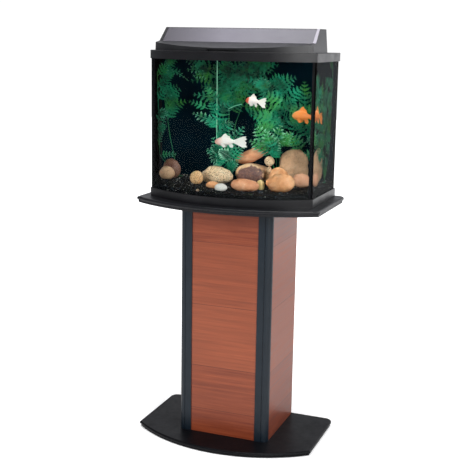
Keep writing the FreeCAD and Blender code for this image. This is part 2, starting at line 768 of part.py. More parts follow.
# ------------------------------------------------------------------ hood
hood_plan = tank_plan.inset(hood_inset)
deck_top = rim - hood_sink
deck_low = deck_top - hood_wall
crease_y = tank_corner + crease_setback
crease_z = rim + crease_rise
lid_slope = (crease_rise - lid_front_rise) / (crease_y - hood_plan.front)
housing_top = rim + light_rise
top_front = crease_y + light_run
top_back = top_front + light_top
back_foot = top_back + light_back_lean
hinge_y = crease_y - barrel_radius - hinge_gap
hinge_top = crease_z - lid_slope * (crease_y - hinge_y)
hinge_z = hinge_top - barrel_radius * math.sqrt(1 + lid_slope ** 2)
cap_start = hood_plan.half_width - cheek_width
lamp_y = crease_y + lamp_setback
lamp_z = deck_top + lamp_clearance + lamp_radius
service_z = housing_top - service_drop
reflector_top = lamp_z + lamp_radius + reflector_play
lid_low = rim + rest_gap
light_slope = (light_rise - crease_rise) / light_run
ballast_roof = (crease_z + light_slope * (lamp_y - ballast_width / 2 - crease_y) - fascia_recess
                - hood_wall * math.hypot(1, light_slope))
ballast_height = ballast_roof - ballast_clearance - reflector_top
back_lean = light_back_lean / (housing_top - deck_top)
boss_x = cap_start + boss_radius + boss_gap
boss_places = (top_front + boss_front_inset, top_back - boss_back_inset)


def back_face(z):
    """Where the housing's leaning back wall stands at a height."""
    return back_foot - back_lean * (z - deck_top)


def hood_body(wall, low):
    """The hood's outer form, or its hollow when wall is above zero."""
    front_y = hood_plan.front - 20
    front_z = crease_z - lid_slope * (crease_y - front_y)
    side_slope = math.hypot(1, lid_slope)
    rise = light_rise - crease_rise
    face_length = math.hypot(light_run, rise)
    turn = wall * (face_length - light_run) / rise
    section = [Vector(0, front_y, low),
               Vector(0, front_y, front_z - wall * side_slope),
               Vector(0, crease_y + turn, crease_z - wall),
               Vector(0, top_front + turn, housing_top - wall),
               Vector(0, back_face(housing_top) - wall, housing_top - wall),
               Vector(0, back_face(low) - wall, low)]
    section = [point - Vector(tank_width, 0, 0) for point in section]
    along = prism(section, Vector(2 * tank_width, 0, 0))
    half_low = hood_plan.half_width - wall
    half_high = half_low - end_lean
    ends = [Vector(-half_low, -tank_width, low), Vector(half_low, -tank_width, low),
            Vector(half_high, -tank_width, housing_top + 0.01),
            Vector(-half_high, -tank_width, housing_top + 0.01)]
    across = prism(ends, Vector(0, 2 * tank_width, 0))
    return hood_plan.inset(wall).prism(low, housing_top + 1).common(along).common(across)


def make_hood_base():
    base = hood_plan.prism(deck_low, deck_top)
    base = base.fuse(ring(hood_plan, 0, hood_wall, ledge_top + hood_play, deck_top))
    feed = hood_plan.inset(feed_border).prism(deck_low - 1, deck_top + 1)
    base = base.cut(feed.common(block(-tank_width, tank_width, -tank_width, hinge_y,
                                      deck_low - 2, deck_top + 2)))
    lens_y0 = lamp_y - lens_width / 2
    lens_y1 = lamp_y + lens_width / 2
    base = base.cut(block(-lens_length / 2 + lens_margin, lens_length / 2 - lens_margin,
                          lens_y0 + lens_margin, lens_y1 - lens_margin, deck_low - 1, deck_top + 1))
    strip_plan = hood_plan.inset(hood_wall)
    opening_front = back_foot + rear_ledge
    opening = hood_plan.inset(hood_wall + rear_ledge).prism(deck_low - 1, deck_top + 1)
    base = base.cut(opening.common(block(-tank_width, tank_width, opening_front, tank_back,
                                         deck_low - 2, deck_top + 2)))
    # Bulkhead between the feed opening and the lamp, under the fascia's lower edge.
    bulkhead_top = crease_z - hood_wall - seam
    inner_half = cap_start - seam
    base = base.fuse(block(-inner_half, inner_half, crease_y, crease_y + hood_wall,
                           deck_low, bulkhead_top))

    # The lid comes down on a kerb that brings the deck's edge level with the rim.
    kerb = ring(hood_plan, 0, hood_wall, deck_low, rim)
    base = base.fuse(kerb.common(block(-inner_half, inner_half, -tank_width,
                                       hinge_y - barrel_radius, deck_low, 2 * rim)))

    # The lens lies on the deck over its opening, held by four screws.
    lens = block(-lens_length / 2, lens_length / 2, lens_y0, lens_y1, deck_top,
                 deck_top + lens_thickness)
    lens_screws = []
    lens_inset = lens_margin / 2
    lens_screw_x = lens_length / 2 - lens_screw_inset
    for x in (-lens_screw_x, lens_screw_x):
        for y in (lens_y0 + lens_inset, lens_y1 - lens_inset):
            seat = Vector(x, y, deck_top + lens_thickness)
            lens_screws.append(pan_screw(seat, Vector(0, 0, -1), lens_thickness + hood_wall + 1,
                                         lens_screw_radius, lens_screw_head,
                                         lens_screw_head_height))
            hole = Part.makeCylinder(lens_screw_radius + fit_play, lens_thickness + hood_wall + 2,
                                     Vector(x, y, deck_low - 1))
            lens = lens.cut(hole)
            base = base.cut(hole)

    # The strip behind the light is a separate panel that is trimmed to pass hoses and leads.
    strip = strip_plan.inset(rear_strip_play).prism(deck_top, rim - 0.2)
    strip = strip.common(block(-tank_width, tank_width, back_foot + rear_strip_play, tank_back,
                               deck_top, rim))
    score_lines = []
    for count in range(1, score_count + 1):
        x = -hood_plan.half_width + count * 2 * hood_plan.half_width / (score_count + 1)
        score_lines.append(block(x - score_width / 2, x + score_width / 2, back_foot, tank_back,
                                 rim - score_depth, rim))
    strip = strip.cut(score_lines)

    # Four screws come up through the deck into bosses in the end caps.
    screws = []
    for y in boss_places:
        seat = Vector(boss_x, y, deck_low)
        screws.append(pan_screw(seat, Vector(0, 0, 1), housing_screw_length, housing_screw_radius,
                                housing_screw_head, housing_screw_head_height))
        hole = Part.makeCylinder(housing_screw_radius + fit_play, hood_wall + 2,
                                 seat - Vector(0, 0, 1))
        for side_hole in both_sides(hole):
            base = base.cut(side_hole)
    save("hood_base", base.removeSplitter())
    save("rear_strip", strip)
    save("splash_lens", lens)
    save("lens_screws", Part.makeCompound(lens_screws))
    save("housing_screws", Part.makeCompound(both_sides(Part.makeCompound(screws))))


def make_housing():
    outer = hood_body(0, deck_top)
    hollow = hood_body(hood_wall, deck_top)
    shell = outer.cut(hollow)
    reach = tank_width

    # End caps: one moulding from the cheek beside the lid to the back of the light.
    cap = shell.common(block(cap_start, reach, -reach, reach, 0, 2 * rim))
    for y in boss_places:
        boss = Part.makeCylinder(boss_radius, boss_height, Vector(boss_x, y, deck_top))
        bore = Part.makeCylinder(housing_screw_radius + fit_play, boss_bore,
                                 Vector(boss_x, y, deck_top - 1))
        web = block(boss_x, hood_plan.half_width, y - boss_web / 2, y + boss_web / 2,
                    deck_top, deck_top + boss_web_height)
        cap = cap.fuse(boss.fuse(web).common(outer)).cut(bore)
    # A wall closes the cheek towards the lid, and carries the hinge pin.
    cheek = outer.common(block(cap_start, cap_start + hood_wall, -reach, crease_y + hood_wall,
                               deck_top, 2 * rim))
    pin_start = Vector(cap_start - lid_pin_grip, hinge_y, hinge_z)
    pin_end = Vector(cap_start + lid_pin_reach, hinge_y, hinge_z)
    cap = cap.fuse(cheek)
    sleeve = rod(Vector(cap_start, hinge_y, hinge_z), pin_end + Vector(1, 0, 0),
                 lid_pin_radius + lid_pin_sleeve)
    cap = cap.fuse(sleeve.common(outer))
    cap = cap.cut(rod(pin_start, pin_end + Vector(0.5, 0, 0),
                      lid_pin_radius + lid_pin_running_play))
    right_cap, left_cap = both_sides(cap.removeSplitter())
    save("end_cap_right", right_cap)
    save("end_cap_left", left_cap)

    # Fascia: the sloping panel in front of the lamp, set back a little between the caps.
    span = cap_start - seam
    front_shell = block(-span, span, crease_y, top_front, crease_z - hood_wall - seam / 2, 2 * rim)
    lowered = outer.copy()
    lowered.translate(Vector(0, 0, -fascia_recess))
    fascia = shell.common(front_shell).common(lowered)
    fascia = fascia.cut(block(-span, span, top_front - seam, top_front + 1, 0, 2 * rim))
    save("fascia_panel", max(fascia.Solids, key=lambda solid: solid.Volume))

    # Top and back of the light housing, between the caps.
    switch_half_x = switch_width / 2 - switch_lip
    switch_half_z = switch_height / 2 - switch_lip
    cover = shell.common(block(-span, span, top_front, reach, 0, 2 * rim))
    back_at = back_face(service_z)
    through = 4 * hood_wall
    ream = Part.makeCylinder(inlet_radius + grommet_wall + 2 * fit_play, 2 * through,
                             Vector(inlet_x, back_at - through, service_z), Vector(0, 1, 0))
    switch_hole = block(switch_x - switch_half_x, switch_x + switch_half_x,
                        back_at - through, back_at + through,
                        service_z - switch_half_z, service_z + switch_half_z)
    cover = cover.cut(ream).cut(switch_hole)
    save("light_cover", max(cover.Solids, key=lambda solid: solid.Volume))

    # Cable inlet: a rubber grommet with a flange on each side of the wall.
    tube_half = hood_wall / 2 + grommet_flange + grommet_end
    middle = back_at - hood_wall / 2
    grommet = Part.makeCylinder(inlet_radius + grommet_wall, 2 * tube_half,
                                Vector(inlet_x, middle - tube_half, service_z), Vector(0, 1, 0))
    flange_gap = hood_wall / 2 + back_lean * grommet_radius + seam
    for start in (middle + flange_gap, middle - flange_gap - grommet_flange):
        grommet = grommet.fuse(Part.makeCylinder(grommet_radius, grommet_flange,
                                                 Vector(inlet_x, start, service_z), Vector(0, 1, 0)))
    grommet = grommet.cut(Part.makeCylinder(inlet_radius, 4 * tube_half,
                                            Vector(inlet_x, middle - 2 * tube_half, service_z),
                                            Vector(0, 1, 0)))
    save("cord_grommet", grommet)

    # Rocker switch in the back wall.
    lip_half_x = switch_width / 2 + switch_lip
    lip_half_z = switch_height / 2 + switch_lip
    body_half_x = switch_half_x - switch_fit
    body_half_z = switch_half_z - switch_fit
    bezel_seat = back_face(service_z - lip_half_z) + switch_fit
    bezel_face = bezel_seat + switch_wall
    bezel = block(switch_x - body_half_x, switch_x + body_half_x, back_at - switch_depth, bezel_face,
                  service_z - body_half_z, service_z + body_half_z)
    bezel = bezel.fuse(block(switch_x - lip_half_x, switch_x + lip_half_x, bezel_seat, bezel_face,
                             service_z - lip_half_z, service_z + lip_half_z))
    rocker_half_x = body_half_x - switch_wall
    rocker_half_z = body_half_z - switch_wall
    bezel = bezel.cut(block(switch_x - rocker_half_x, switch_x + rocker_half_x,
                            back_at - switch_depth + switch_wall, bezel_face + 1,
                            service_z - rocker_half_z, service_z + rocker_half_z))
    save("switch_bezel", bezel)
    pivot_y = bezel_face - rocker_sink
    half_x = rocker_half_x - rocker_play
    half_z = rocker_half_z - rocker_play
    lift = half_x * math.tan(math.radians(rocker_angle))
    rocker = prism([Vector(-half_x, -rocker_heel, -half_z), Vector(half_x, -rocker_heel, -half_z),
                    Vector(half_x, rocker_crown + lift, -half_z), Vector(0, rocker_crown, -half_z),
                    Vector(-half_x, rocker_crown + lift, -half_z)], Vector(0, 0, 2 * half_z))
    trim = Part.makeCylinder(half_x, 2 * half_z, Vector(0, 0, -half_z), Vector(0, 0, 1))
    rocker = rocker.common(trim)
    rocker.rotate(Vector(0, 0, 0), Vector(0, 0, 1), rocker_angle)
    rocker.translate(Vector(switch_x, pivot_y, service_z))
    save("switch_rocker", rocker)
    print("rocker pivot", switch_x, pivot_y, service_z)


def make_lid():
    outer = hood_body(0, lid_low)
    hollow = hood_body(hood_wall, deck_top)
    reach = tank_width
    span = cap_start - lid_play
    zone = block(-span, span, -reach, hinge_y, deck_top, 2 * rim)
    lid = outer.cut(hollow).common(zone)
    # The hinge edge is a barrel, so that it turns clear of the fascia and the bulkhead.
    barrel = rod(Vector(-span, hinge_y, hinge_z), Vector(span, hinge_y, hinge_z), barrel_radius)
    end_ribs = []
    for x in (-span, span - hood_wall):
        end_ribs.append(outer.common(block(x, x + hood_wall, -reach, hinge_y, lid_low, 2 * rim)))
    lid = lid.fuse([barrel] + end_ribs)
    # Finger recess: the wall is cut away, and a pocket is set in behind it.
    recess = block(-finger_width / 2, finger_width / 2, -reach, hood_plan.front + finger_depth,
                   rim, lid_low + finger_rise)
    pocket = block(-finger_width / 2 - hood_wall, finger_width / 2 + hood_wall, -reach,
                   hood_plan.front + finger_depth + hood_wall, lid_low,
                   lid_low + finger_rise + hood_wall)
    lid = lid.fuse(pocket.common(outer)).cut(recess)
    for side_pin in both_sides(rod(Vector(cap_start - lid_pin_grip - 0.5, hinge_y, hinge_z),
                                   Vector(cap_start + 1, hinge_y, hinge_z),
                                   lid_pin_radius + fit_play / 5)):
        lid = lid.cut(side_pin)
    pins = both_sides(rod(Vector(cap_start - lid_pin_grip, hinge_y, hinge_z),
                          Vector(cap_start + lid_pin_reach, hinge_y, hinge_z), lid_pin_radius))
    save("feeding_lid", lid.removeSplitter())
    save("lid_hinge_pins", Part.makeCompound(pins))
    print("lid hinge", 0, hinge_y, hinge_z)


def make_lamp():
    half = lamp_length / 2
    axis_start = Vector(-half, lamp_y, lamp_z)
    tube_half = half - lamp_cap_length / 2
    glass_radius = lamp_radius - lamp_cap_wall
    glass = Part.makeCylinder(glass_radius, 2 * tube_half,
                              Vector(-tube_half, lamp_y, lamp_z), Vector(1, 0, 0))
    glass = glass.cut(Part.makeCylinder(glass_radius - lamp_wall, 2 * (tube_half - lamp_wall),
                                        Vector(lamp_wall - tube_half, lamp_y, lamp_z),
                                        Vector(1, 0, 0)))
    save("lamp_tube", glass)
    cap = Part.makeCylinder(lamp_radius, lamp_cap_length, axis_start, Vector(1, 0, 0))
    cap = cap.makeFillet(lamp_cap_edge, [edge for edge in cap.Edges
                                         if edge.BoundBox.XMax < -half + 0.01])
    cap = cap.cut(Part.makeCylinder(glass_radius + fit_play / 5, lamp_cap_length,
                                    Vector(-tube_half, lamp_y, lamp_z), Vector(1, 0, 0)))
    for sign in (-1, 1):
        pin_z = lamp_z + sign * lamp_pin_spacing / 2
        cap = cap.fuse(rod(Vector(-half - lamp_pin_length, lamp_y, pin_z),
                           Vector(-half + lamp_cap_wall, lamp_y, pin_z), lamp_pin_radius))
    save("lamp_caps", Part.makeCompound(both_sides(cap)))

    inner = half + lamp_end_play
    holder = block(inner, inner + holder_thickness, lamp_y - holder_half_width,
                   lamp_y + holder_half_width, deck_top, lamp_z)
    holder = holder.fuse(Part.makeCylinder(holder_half_width, holder_thickness,
                                           Vector(inner, lamp_y, lamp_z), Vector(1, 0, 0)))
    holder = holder.cut(Part.makeCylinder(rotor_radius, lamp_pin_length + 0.3,
                                          Vector(inner, lamp_y, lamp_z), Vector(1, 0, 0)))
    save("lampholders", Part.makeCompound(both_sides(holder)))

    # Reflector: a bent white sheet over the lamp.
    reflector_half = half - reflector_end
    skirt_z = deck_top + lens_thickness + reflector_lift
    spread = lens_width / 2 + reflector_skirt
    narrow = lamp_radius + reflector_flat
    profile = [Vector(-reflector_half, lamp_y - spread, skirt_z),
               Vector(-reflector_half, lamp_y - narrow, reflector_top),
               Vector(-reflector_half, lamp_y + narrow, reflector_top),
               Vector(-reflector_half, lamp_y + spread, skirt_z)]
    lean = math.hypot(spread - narrow, reflector_top - skirt_z) / (reflector_top - skirt_z)
    offset = reflector_sheet * lean
    inside = [Vector(-reflector_half, lamp_y - spread + offset, skirt_z),
              Vector(-reflector_half, lamp_y - narrow + reflector_sheet, reflector_top - reflector_sheet),
              Vector(-reflector_half, lamp_y + narrow - reflector_sheet, reflector_top - reflector_sheet),
              Vector(-reflector_half, lamp_y + spread - offset, skirt_z)]
    sheet = Part.Face(Part.makePolygon(profile + inside[::-1] + [profile[0]]))
    reflector = sheet.extrude(Vector(2 * reflector_half, 0, 0))

    # The ballast rides on top of the reflector.
    ballast = block(-ballast_length / 2, ballast_length / 2, lamp_y - ballast_width / 2,
                    lamp_y + ballast_width / 2, reflector_top, reflector_top + ballast_height)
    ballast = ballast.makeFillet(ballast_edge,
                                 flat_edges(ballast, reflector_top + ballast_height))
    ear_top = reflector_top + ear_thickness
    ears = []
    ballast_screws = []
    for sign in (-1, 1):
        near = sign * ballast_length / 2
        far = near + sign * ear_length
        ear = block(min(near, far), max(near, far), lamp_y - ear_width / 2, lamp_y + ear_width / 2,
                    reflector_top, ear_top)
        seat = Vector((near + far) / 2, lamp_y, ear_top)
        hole = Part.makeCylinder(ear_screw_radius + fit_play, 2 * ear_screw_length,
                                 seat - Vector(0, 0, ear_screw_length))
        ears.append(ear.cut(hole))
        reflector = reflector.cut(hole)
        ballast_screws.append(pan_screw(seat, Vector(0, 0, -1), ear_screw_length,
                                        ear_screw_radius, ear_screw_head, ear_screw_radius))
    save("reflector", reflector)
    save("ballast", ballast.fuse(ears).removeSplitter())
    save("ballast_screws", Part.makeCompound(ballast_screws))

    # Insulated leads run straight along the top of the reflector.
    leads = []
    lead_z = reflector_top + wire_radius + fit_play
    lead_start = ballast_length / 2 + wire_gap
    for y in (lamp_y - wire_spread, lamp_y + wire_spread):
        leads += both_sides(rod(Vector(lead_start, y, lead_z), Vector(reflector_half, y, lead_z),
                                wire_radius))
    save("lamp_leads", Part.makeCompound(leads))
    print("lamp axis", lamp_y, lamp_z)


os.makedirs("parts", exist_ok=True)
make_stand()
make_frames()
make_glass()
make_contents()
make_hood_base()
make_housing()
make_lid()
make_lamp()
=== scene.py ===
import json
import math

import bmesh
import bpy
import numpy as np
from mathutils import Matrix, Vector, noise


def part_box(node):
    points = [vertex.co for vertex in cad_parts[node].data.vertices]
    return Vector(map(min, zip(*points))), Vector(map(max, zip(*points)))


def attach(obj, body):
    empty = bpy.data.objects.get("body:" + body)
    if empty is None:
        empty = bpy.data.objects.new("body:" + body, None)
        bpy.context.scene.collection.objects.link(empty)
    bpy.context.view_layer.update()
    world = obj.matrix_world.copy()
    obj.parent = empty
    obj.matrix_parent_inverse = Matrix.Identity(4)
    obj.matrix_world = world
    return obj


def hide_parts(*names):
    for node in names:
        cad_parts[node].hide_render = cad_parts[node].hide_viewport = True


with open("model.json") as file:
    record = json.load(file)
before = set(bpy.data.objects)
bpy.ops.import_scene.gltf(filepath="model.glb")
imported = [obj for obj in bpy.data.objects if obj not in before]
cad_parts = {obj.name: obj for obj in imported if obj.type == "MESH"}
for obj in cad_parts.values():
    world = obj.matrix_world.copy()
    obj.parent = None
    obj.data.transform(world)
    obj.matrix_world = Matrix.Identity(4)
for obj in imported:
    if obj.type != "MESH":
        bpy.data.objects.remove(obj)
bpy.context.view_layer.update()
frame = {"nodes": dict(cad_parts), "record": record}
nodes = frame["nodes"]

# ------------------------------------------------------------------ places read from the frame
front_pane_low, front_pane_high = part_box("glass_front")
side_pane_low, side_pane_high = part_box("glass_right")
inner_half = side_pane_low.x                 # inside of the side glass, from the middle
inner_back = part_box("glass_back")[0].y
inner_corner = front_pane_high.y             # where the bowed pane meets the side panes
pane_thickness = side_pane_high.x - side_pane_low.x
inner_front = front_pane_low.y + pane_thickness
inner_depth = inner_back - inner_front
floor_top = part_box("glass_floor")[1].z
glass_top = side_pane_high.z
bow = inner_corner - inner_front
bow_radius = (inner_half ** 2 + bow ** 2) / (2 * bow)
bow_centre = inner_front + bow_radius

# The gravel slopes from the back glass down to its level in a narrow strip at the front.
bed_low, bed_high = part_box("gravel_bed")
strip_depth = 0.004
gravel_front = max(v.co.z for v in nodes["gravel_bed"].data.vertices
                   if v.co.y < bed_low.y + strip_depth)
gravel_back = bed_high.z
bed_foot = floor_top + 0.0006


def gravel_level(y):
    share = (inner_back - y) / inner_depth
    return gravel_back + (gravel_front - gravel_back) * share


# The stones, plants and fish are laid out in a tank of this size, as in the CAD model.
layout_half_width = 0.249
layout_depth = 0.316
layout_height = 0.410


def layout(x, y, z):
    """A place in the tank in millimetres: x from the middle, y from the back, z from the floor."""
    return Vector((x / 1000 * inner_half / layout_half_width,
                   inner_back + y / 1000 * inner_depth / layout_depth,
                   floor_top + z / 1000 * (glass_top - floor_top) / layout_height))


def front_arc(x, inset):
    return bow_centre - math.sqrt((bow_radius - inset) ** 2 - x ** 2)


def bow_outline(inset, steps):
    """Points around the inside of the tank, from the back right corner by the front to the left."""
    half = inner_half - inset
    points = [(half, inner_back - inset)]
    for step in range(steps + 1):
        x = half * math.cos(math.pi * step / steps)
        points.append((x, front_arc(x, inset)))
    points.append((-half, inner_back - inset))
    return points


# ------------------------------------------------------------------ node materials
class Nodes:
    """A node tree, with short calls for the nodes that feed it."""

    def __init__(self, tree, space):
        self.tree = tree
        self.place = self.add("ShaderNodeTexCoord").outputs[space]

    def put(self, value, socket):
        """Feeds a socket with a number, a colour or vector, or another node's output."""
        if isinstance(value, (int, float)):
            socket.default_value = value
        elif isinstance(value, tuple):
            socket.default_value = (*value, 1.0)[:len(socket.default_value)]
        else:
            self.tree.links.new(value, socket)

    def add(self, kind, inputs=None, **settings):
        """A new node, with its settings, and what feeds its inputs by name or number."""
        made = self.tree.nodes.new(kind)
        for key, value in settings.items():
            setattr(made, key, value)
        for name, value in (inputs or {}).items():
            self.put(value, made.inputs[name])
        return made

    def stretched(self, scale):
        """The place in space, scaled by axis, or as it is."""
        if scale is None:
            return self.place
        return self.add("ShaderNodeMapping", {"Scale": scale, "Vector": self.place}).outputs[0]

    def noise(self, scale, detail=4.0, rough=0.55, stretch=None, warp=0.0):
        feeds = {"Scale": scale, "Detail": detail, "Roughness": rough, "Distortion": warp,
                 "Vector": self.stretched(stretch)}
        return self.add("ShaderNodeTexNoise", feeds).outputs["Fac"]

    def cells(self, scale, output):
        feeds = {"Scale": scale, "Vector": self.place}
        return self.add("ShaderNodeTexVoronoi", feeds).outputs[output]

    def ramp(self, value, stops, mode="LINEAR"):
        made = self.add("ShaderNodeValToRGB", {"Fac": value})
        made.color_ramp.interpolation = mode
        elements = made.color_ramp.elements
        while len(elements) < len(stops):
            elements.new(0.5)
        for element, (place, colour) in zip(elements, stops):
            element.position = place
            element.color = (*colour, 1.0)
        return made.outputs["Color"]

    def grey(self, value, low, high, start=0.0, end=1.0):
        """The value's range from start to end, mapped onto low to high."""
        feeds = {"From Min": start, "From Max": end, "To Min": low, "To Max": high, "Value": value}
        return self.add("ShaderNodeMapRange", feeds).outputs["Result"]

    def math(self, operation, *values):
        return self.add("ShaderNodeMath", dict(enumerate(values)), operation=operation).outputs[0]

    def mix(self, amount, first, second):
        feeds = {0: amount, 6: first, 7: second}
        return self.add("ShaderNodeMix", feeds, data_type="RGBA").outputs[2]

    def axis(self, index, vector=None):
        """One axis of the place in space, or of another vector."""
        feed = self.place if vector is None else vector
        return self.add("ShaderNodeSeparateXYZ", {0: feed}).outputs[index]

    def blend(self, amount, first, second):
        """A mix of two nodes' shaders."""
        feeds = {0: amount, 1: first.outputs[0], 2: second.outputs[0]}
        return self.add("ShaderNodeMixShader", feeds)


class Shader(Nodes):
    """A material that starts as a Principled shader."""

    def __init__(self, name):
        self.material = bpy.data.materials.new(name)
        self.material.use_nodes = True
        super().__init__(self.material.node_tree, "Object")
        self.bsdf = self.tree.nodes["Principled BSDF"]

    def attribute(self, name):
        return self.add("ShaderNodeAttribute", attribute_name=name).outputs["Fac"]

    def normal(self):
        return self.add("ShaderNodeNewGeometry").outputs["Normal"]

    def bump(self, height, strength, distance):
        feeds = {"Strength": strength, "Distance": distance, "Height": height}
        made = self.add("ShaderNodeBump", feeds)
        self.put(made.outputs["Normal"], self.bsdf.inputs["Normal"])

    def finish(self, colour, rough, **others):
        """Feeds the Principled shader. The others are its inputs by name, with _ for a space."""
        for name, value in {"Base_Color": colour, "Roughness": rough, **others}.items():
            self.put(value, self.bsdf.inputs[name.replace("_", " ")])
        return self.material

    def surface(self, node):
        """Ends the material in another shader than its Principled one."""
        self.put(node.outputs[0], self.tree.nodes["Material Output"].inputs["Surface"])
        return self.material


def moulded_plastic(name, dark, light, rough, grain=900.0, gloss=0.5):
    """Plastic with a faint cloudiness and the fine texture of its mould."""
    shader = Shader(name)
    colour = shader.ramp(shader.noise(14.0, 3.0), [(0.3, dark), (0.7, light)])
    sheen = shader.grey(shader.noise(32.0, 5.0, 0.65), rough - 0.05, rough + 0.07, 0.3, 0.7)
    shader.bump(shader.noise(grain, 2.0), 0.12, 0.0004)
    return shader.finish(colour, sheen, Specular_IOR_Level=gloss)


def sloped_highlight(name):
    """The hood's end moulding: black, with a painted highlight on the face that slopes beside the
    fascia.
    """
    shader = Shader(name)
    cloud = shader.noise(14.0, 3.0)
    black = shader.ramp(cloud, [(0.3, (0.0080, 0.0080, 0.0095)), (0.7, (0.0120, 0.0120, 0.0140))])
    fascia_normal = (0.0, -0.69, 0.72)
    facing = shader.add("ShaderNodeVectorMath", {0: shader.normal(), 1: fascia_normal},
                        operation="DOT_PRODUCT")
    # Painted highlight: the faces that turn up like the fascia get a pale grey in place of the black.
    painted_highlight = shader.grey(facing.outputs["Value"], 0.0, 1.0, 0.955, 0.985)
    colour = shader.mix(painted_highlight, black, (0.235, 0.220, 0.262))
    shader.bump(shader.noise(900.0, 2.0), 0.12, 0.0004)
    return shader.finish(colour, shader.grey(cloud, 0.34, 0.44))


def cherry_laminate(name, joints):
    """Printed cherry planks with level grain, and a dark line at each joint between planks."""
    shader = Shader(name)
    height = shader.axis(2)
    grain = shader.noise(1.0, 8.0, 0.62, stretch=(5.0, 5.0, 190.0), warp=0.35)
    fibre = shader.noise(1.0, 3.0, 0.5, stretch=(22.0, 22.0, 1500.0))
    figure = shader.noise(1.0, 4.0, 0.55, stretch=(2.2, 2.2, 26.0), warp=0.8)
    tone = shader.ramp(grain, [(0.25, (0.085, 0.013, 0.005)), (0.45, (0.165, 0.031, 0.011)),
                               (0.62, (0.225, 0.048, 0.018)), (0.80, (0.300, 0.076, 0.030))])
    tone = shader.mix(shader.grey(figure, 0.0, 0.6, 0.45, 0.75), tone, (0.130, 0.024, 0.010))
    tone = shader.mix(shader.grey(fibre, 0.0, 0.35, 0.5, 0.8), tone, (0.06, 0.012, 0.006))
    # Each plank has a tone of its own, and each joint is a thin level line.
    half_line = 0.0009
    plank = 0.0
    line = 0.0
    for count, joint in enumerate(joints):
        above = shader.math("GREATER_THAN", height, joint)
        tone_step = 0.37 + 0.21 * (count % 3)
        plank = shader.math("ADD", plank, shader.math("MULTIPLY", above, tone_step))
        line = shader.math("MAXIMUM", line, shader.math("COMPARE", height, joint, half_line))
    plank_tone = shader.grey(shader.math("FRACT", plank), 0.0, 0.34)
    tone = shader.mix(plank_tone, tone, (0.32, 0.088, 0.036))
    tone = shader.mix(shader.math("MULTIPLY", line, 0.75), tone, (0.05, 0.012, 0.008))
    shader.bump(shader.math("SUBTRACT", fibre, line), 0.10, 0.0004)
    return shader.finish(tone, shader.grey(grain, 0.34, 0.46, 0.3, 0.7), Specular_IOR_Level=0.35,
                         Coat_Weight=0.10, Coat_Roughness=0.22)


def fascia_painted_sheen(box):
    """Grey satin paint on the hood's sloping front, with a painted sheen that is palest a little left
    of the middle.
    """
    shader = Shader("fascia_grey")
    # Painted sheen: the grey is lighter or darker along the hood's width, as the light falls on it.
    along = shader.grey(shader.axis(0), 0.0, 1.0, box[0].x, box[1].x)
    wander = shader.math("ADD", along, shader.grey(shader.noise(7.0, 3.0), -0.06, 0.06))
    colour = shader.ramp(wander, [(0.0, (0.052, 0.048, 0.060)), (0.42, (0.112, 0.105, 0.132)),
                                  (0.62, (0.106, 0.100, 0.124)), (1.0, (0.074, 0.070, 0.088))])
    shader.bump(shader.noise(900.0, 2.0), 0.12, 0.0004)
    return shader.finish(colour, shader.grey(shader.noise(32.0, 5.0, 0.65), 0.37, 0.49, 0.3, 0.7))


def black_board(name, dark, light, gloss):
    """Black foil over board: a satin face with a slight orange-peel."""
    shader = Shader(name)
    colour = shader.ramp(shader.noise(9.0, 4.0, 0.6), [(0.3, dark), (0.7, light)])
    rough = shader.grey(shader.noise(26.0, 5.0, 0.7), 0.34, 0.50, 0.3, 0.7)
    shader.bump(shader.noise(420.0, 2.0), 0.10, 0.0005)
    return shader.finish(colour, rough, Specular_IOR_Level=gloss)


def turned_wood(name, dark, light):
    shader = Shader(name)
    grain = shader.noise(1.0, 5.0, 0.6, stretch=(60.0, 12.0, 240.0), warp=0.3)
    colour = shader.ramp(grain, [(0.3, dark), (0.7, light)])
    shader.bump(grain, 0.2, 0.0004)
    return shader.finish(colour, shader.grey(grain, 0.55, 0.75))


def plated_metal(name, tint, rough):
    shader = Shader(name)
    brushed = shader.noise(1.0, 3.0, 0.6, stretch=(900.0, 900.0, 60.0))
    colour = shader.mix(brushed, tuple(c * 0.82 for c in tint), tint)
    shader.bump(brushed, 0.08, 0.0002)
    return shader.finish(colour, shader.grey(brushed, rough - 0.06, rough + 0.08), Metallic=1.0)


def enamel(name, tint, rough):
    shader = Shader(name)
    cloud = shader.noise(40.0, 3.0)
    colour = shader.mix(cloud, tuple(c * 0.93 for c in tint), tint)
    shader.bump(shader.noise(300.0, 2.0), 0.06, 0.0003)
    return shader.finish(colour, shader.grey(cloud, rough - 0.04, rough + 0.06))


def clear_pane(name, tint, ior, mirror_share, edge_test=None):
    """Thin flat glass: straight through, with a reflection that grows towards grazing.

    The edge test is a comparison and a limit for how far a face looks along Y: the sawn edges of a
    pane that pass it are sealed black.
    """
    shader = Shader(name)
    shader.tree.nodes.remove(shader.bsdf)
    smear = shader.mix(shader.noise(6.0, 4.0, 0.6), tint, tuple(min(1.0, c * 1.02) for c in tint))
    through = shader.add("ShaderNodeBsdfTransparent", {"Color": smear})
    mirror = shader.add("ShaderNodeBsdfGlossy", {"Roughness": 0.02, "Color": (mirror_share,) * 3})
    fresnel = shader.add("ShaderNodeFresnel", {"IOR": ior})
    pane = shader.blend(fresnel.outputs[0], through, mirror)
    if edge_test:
        comparison, limit = edge_test
        facing = shader.math("ABSOLUTE", shader.axis(1, shader.normal()))
        seal = shader.add("ShaderNodeBsdfDiffuse", {"Color": (0.012, 0.008, 0.009)})
        pane = shader.blend(shader.math(comparison, facing, limit), pane, seal)
    return shader.surface(pane)


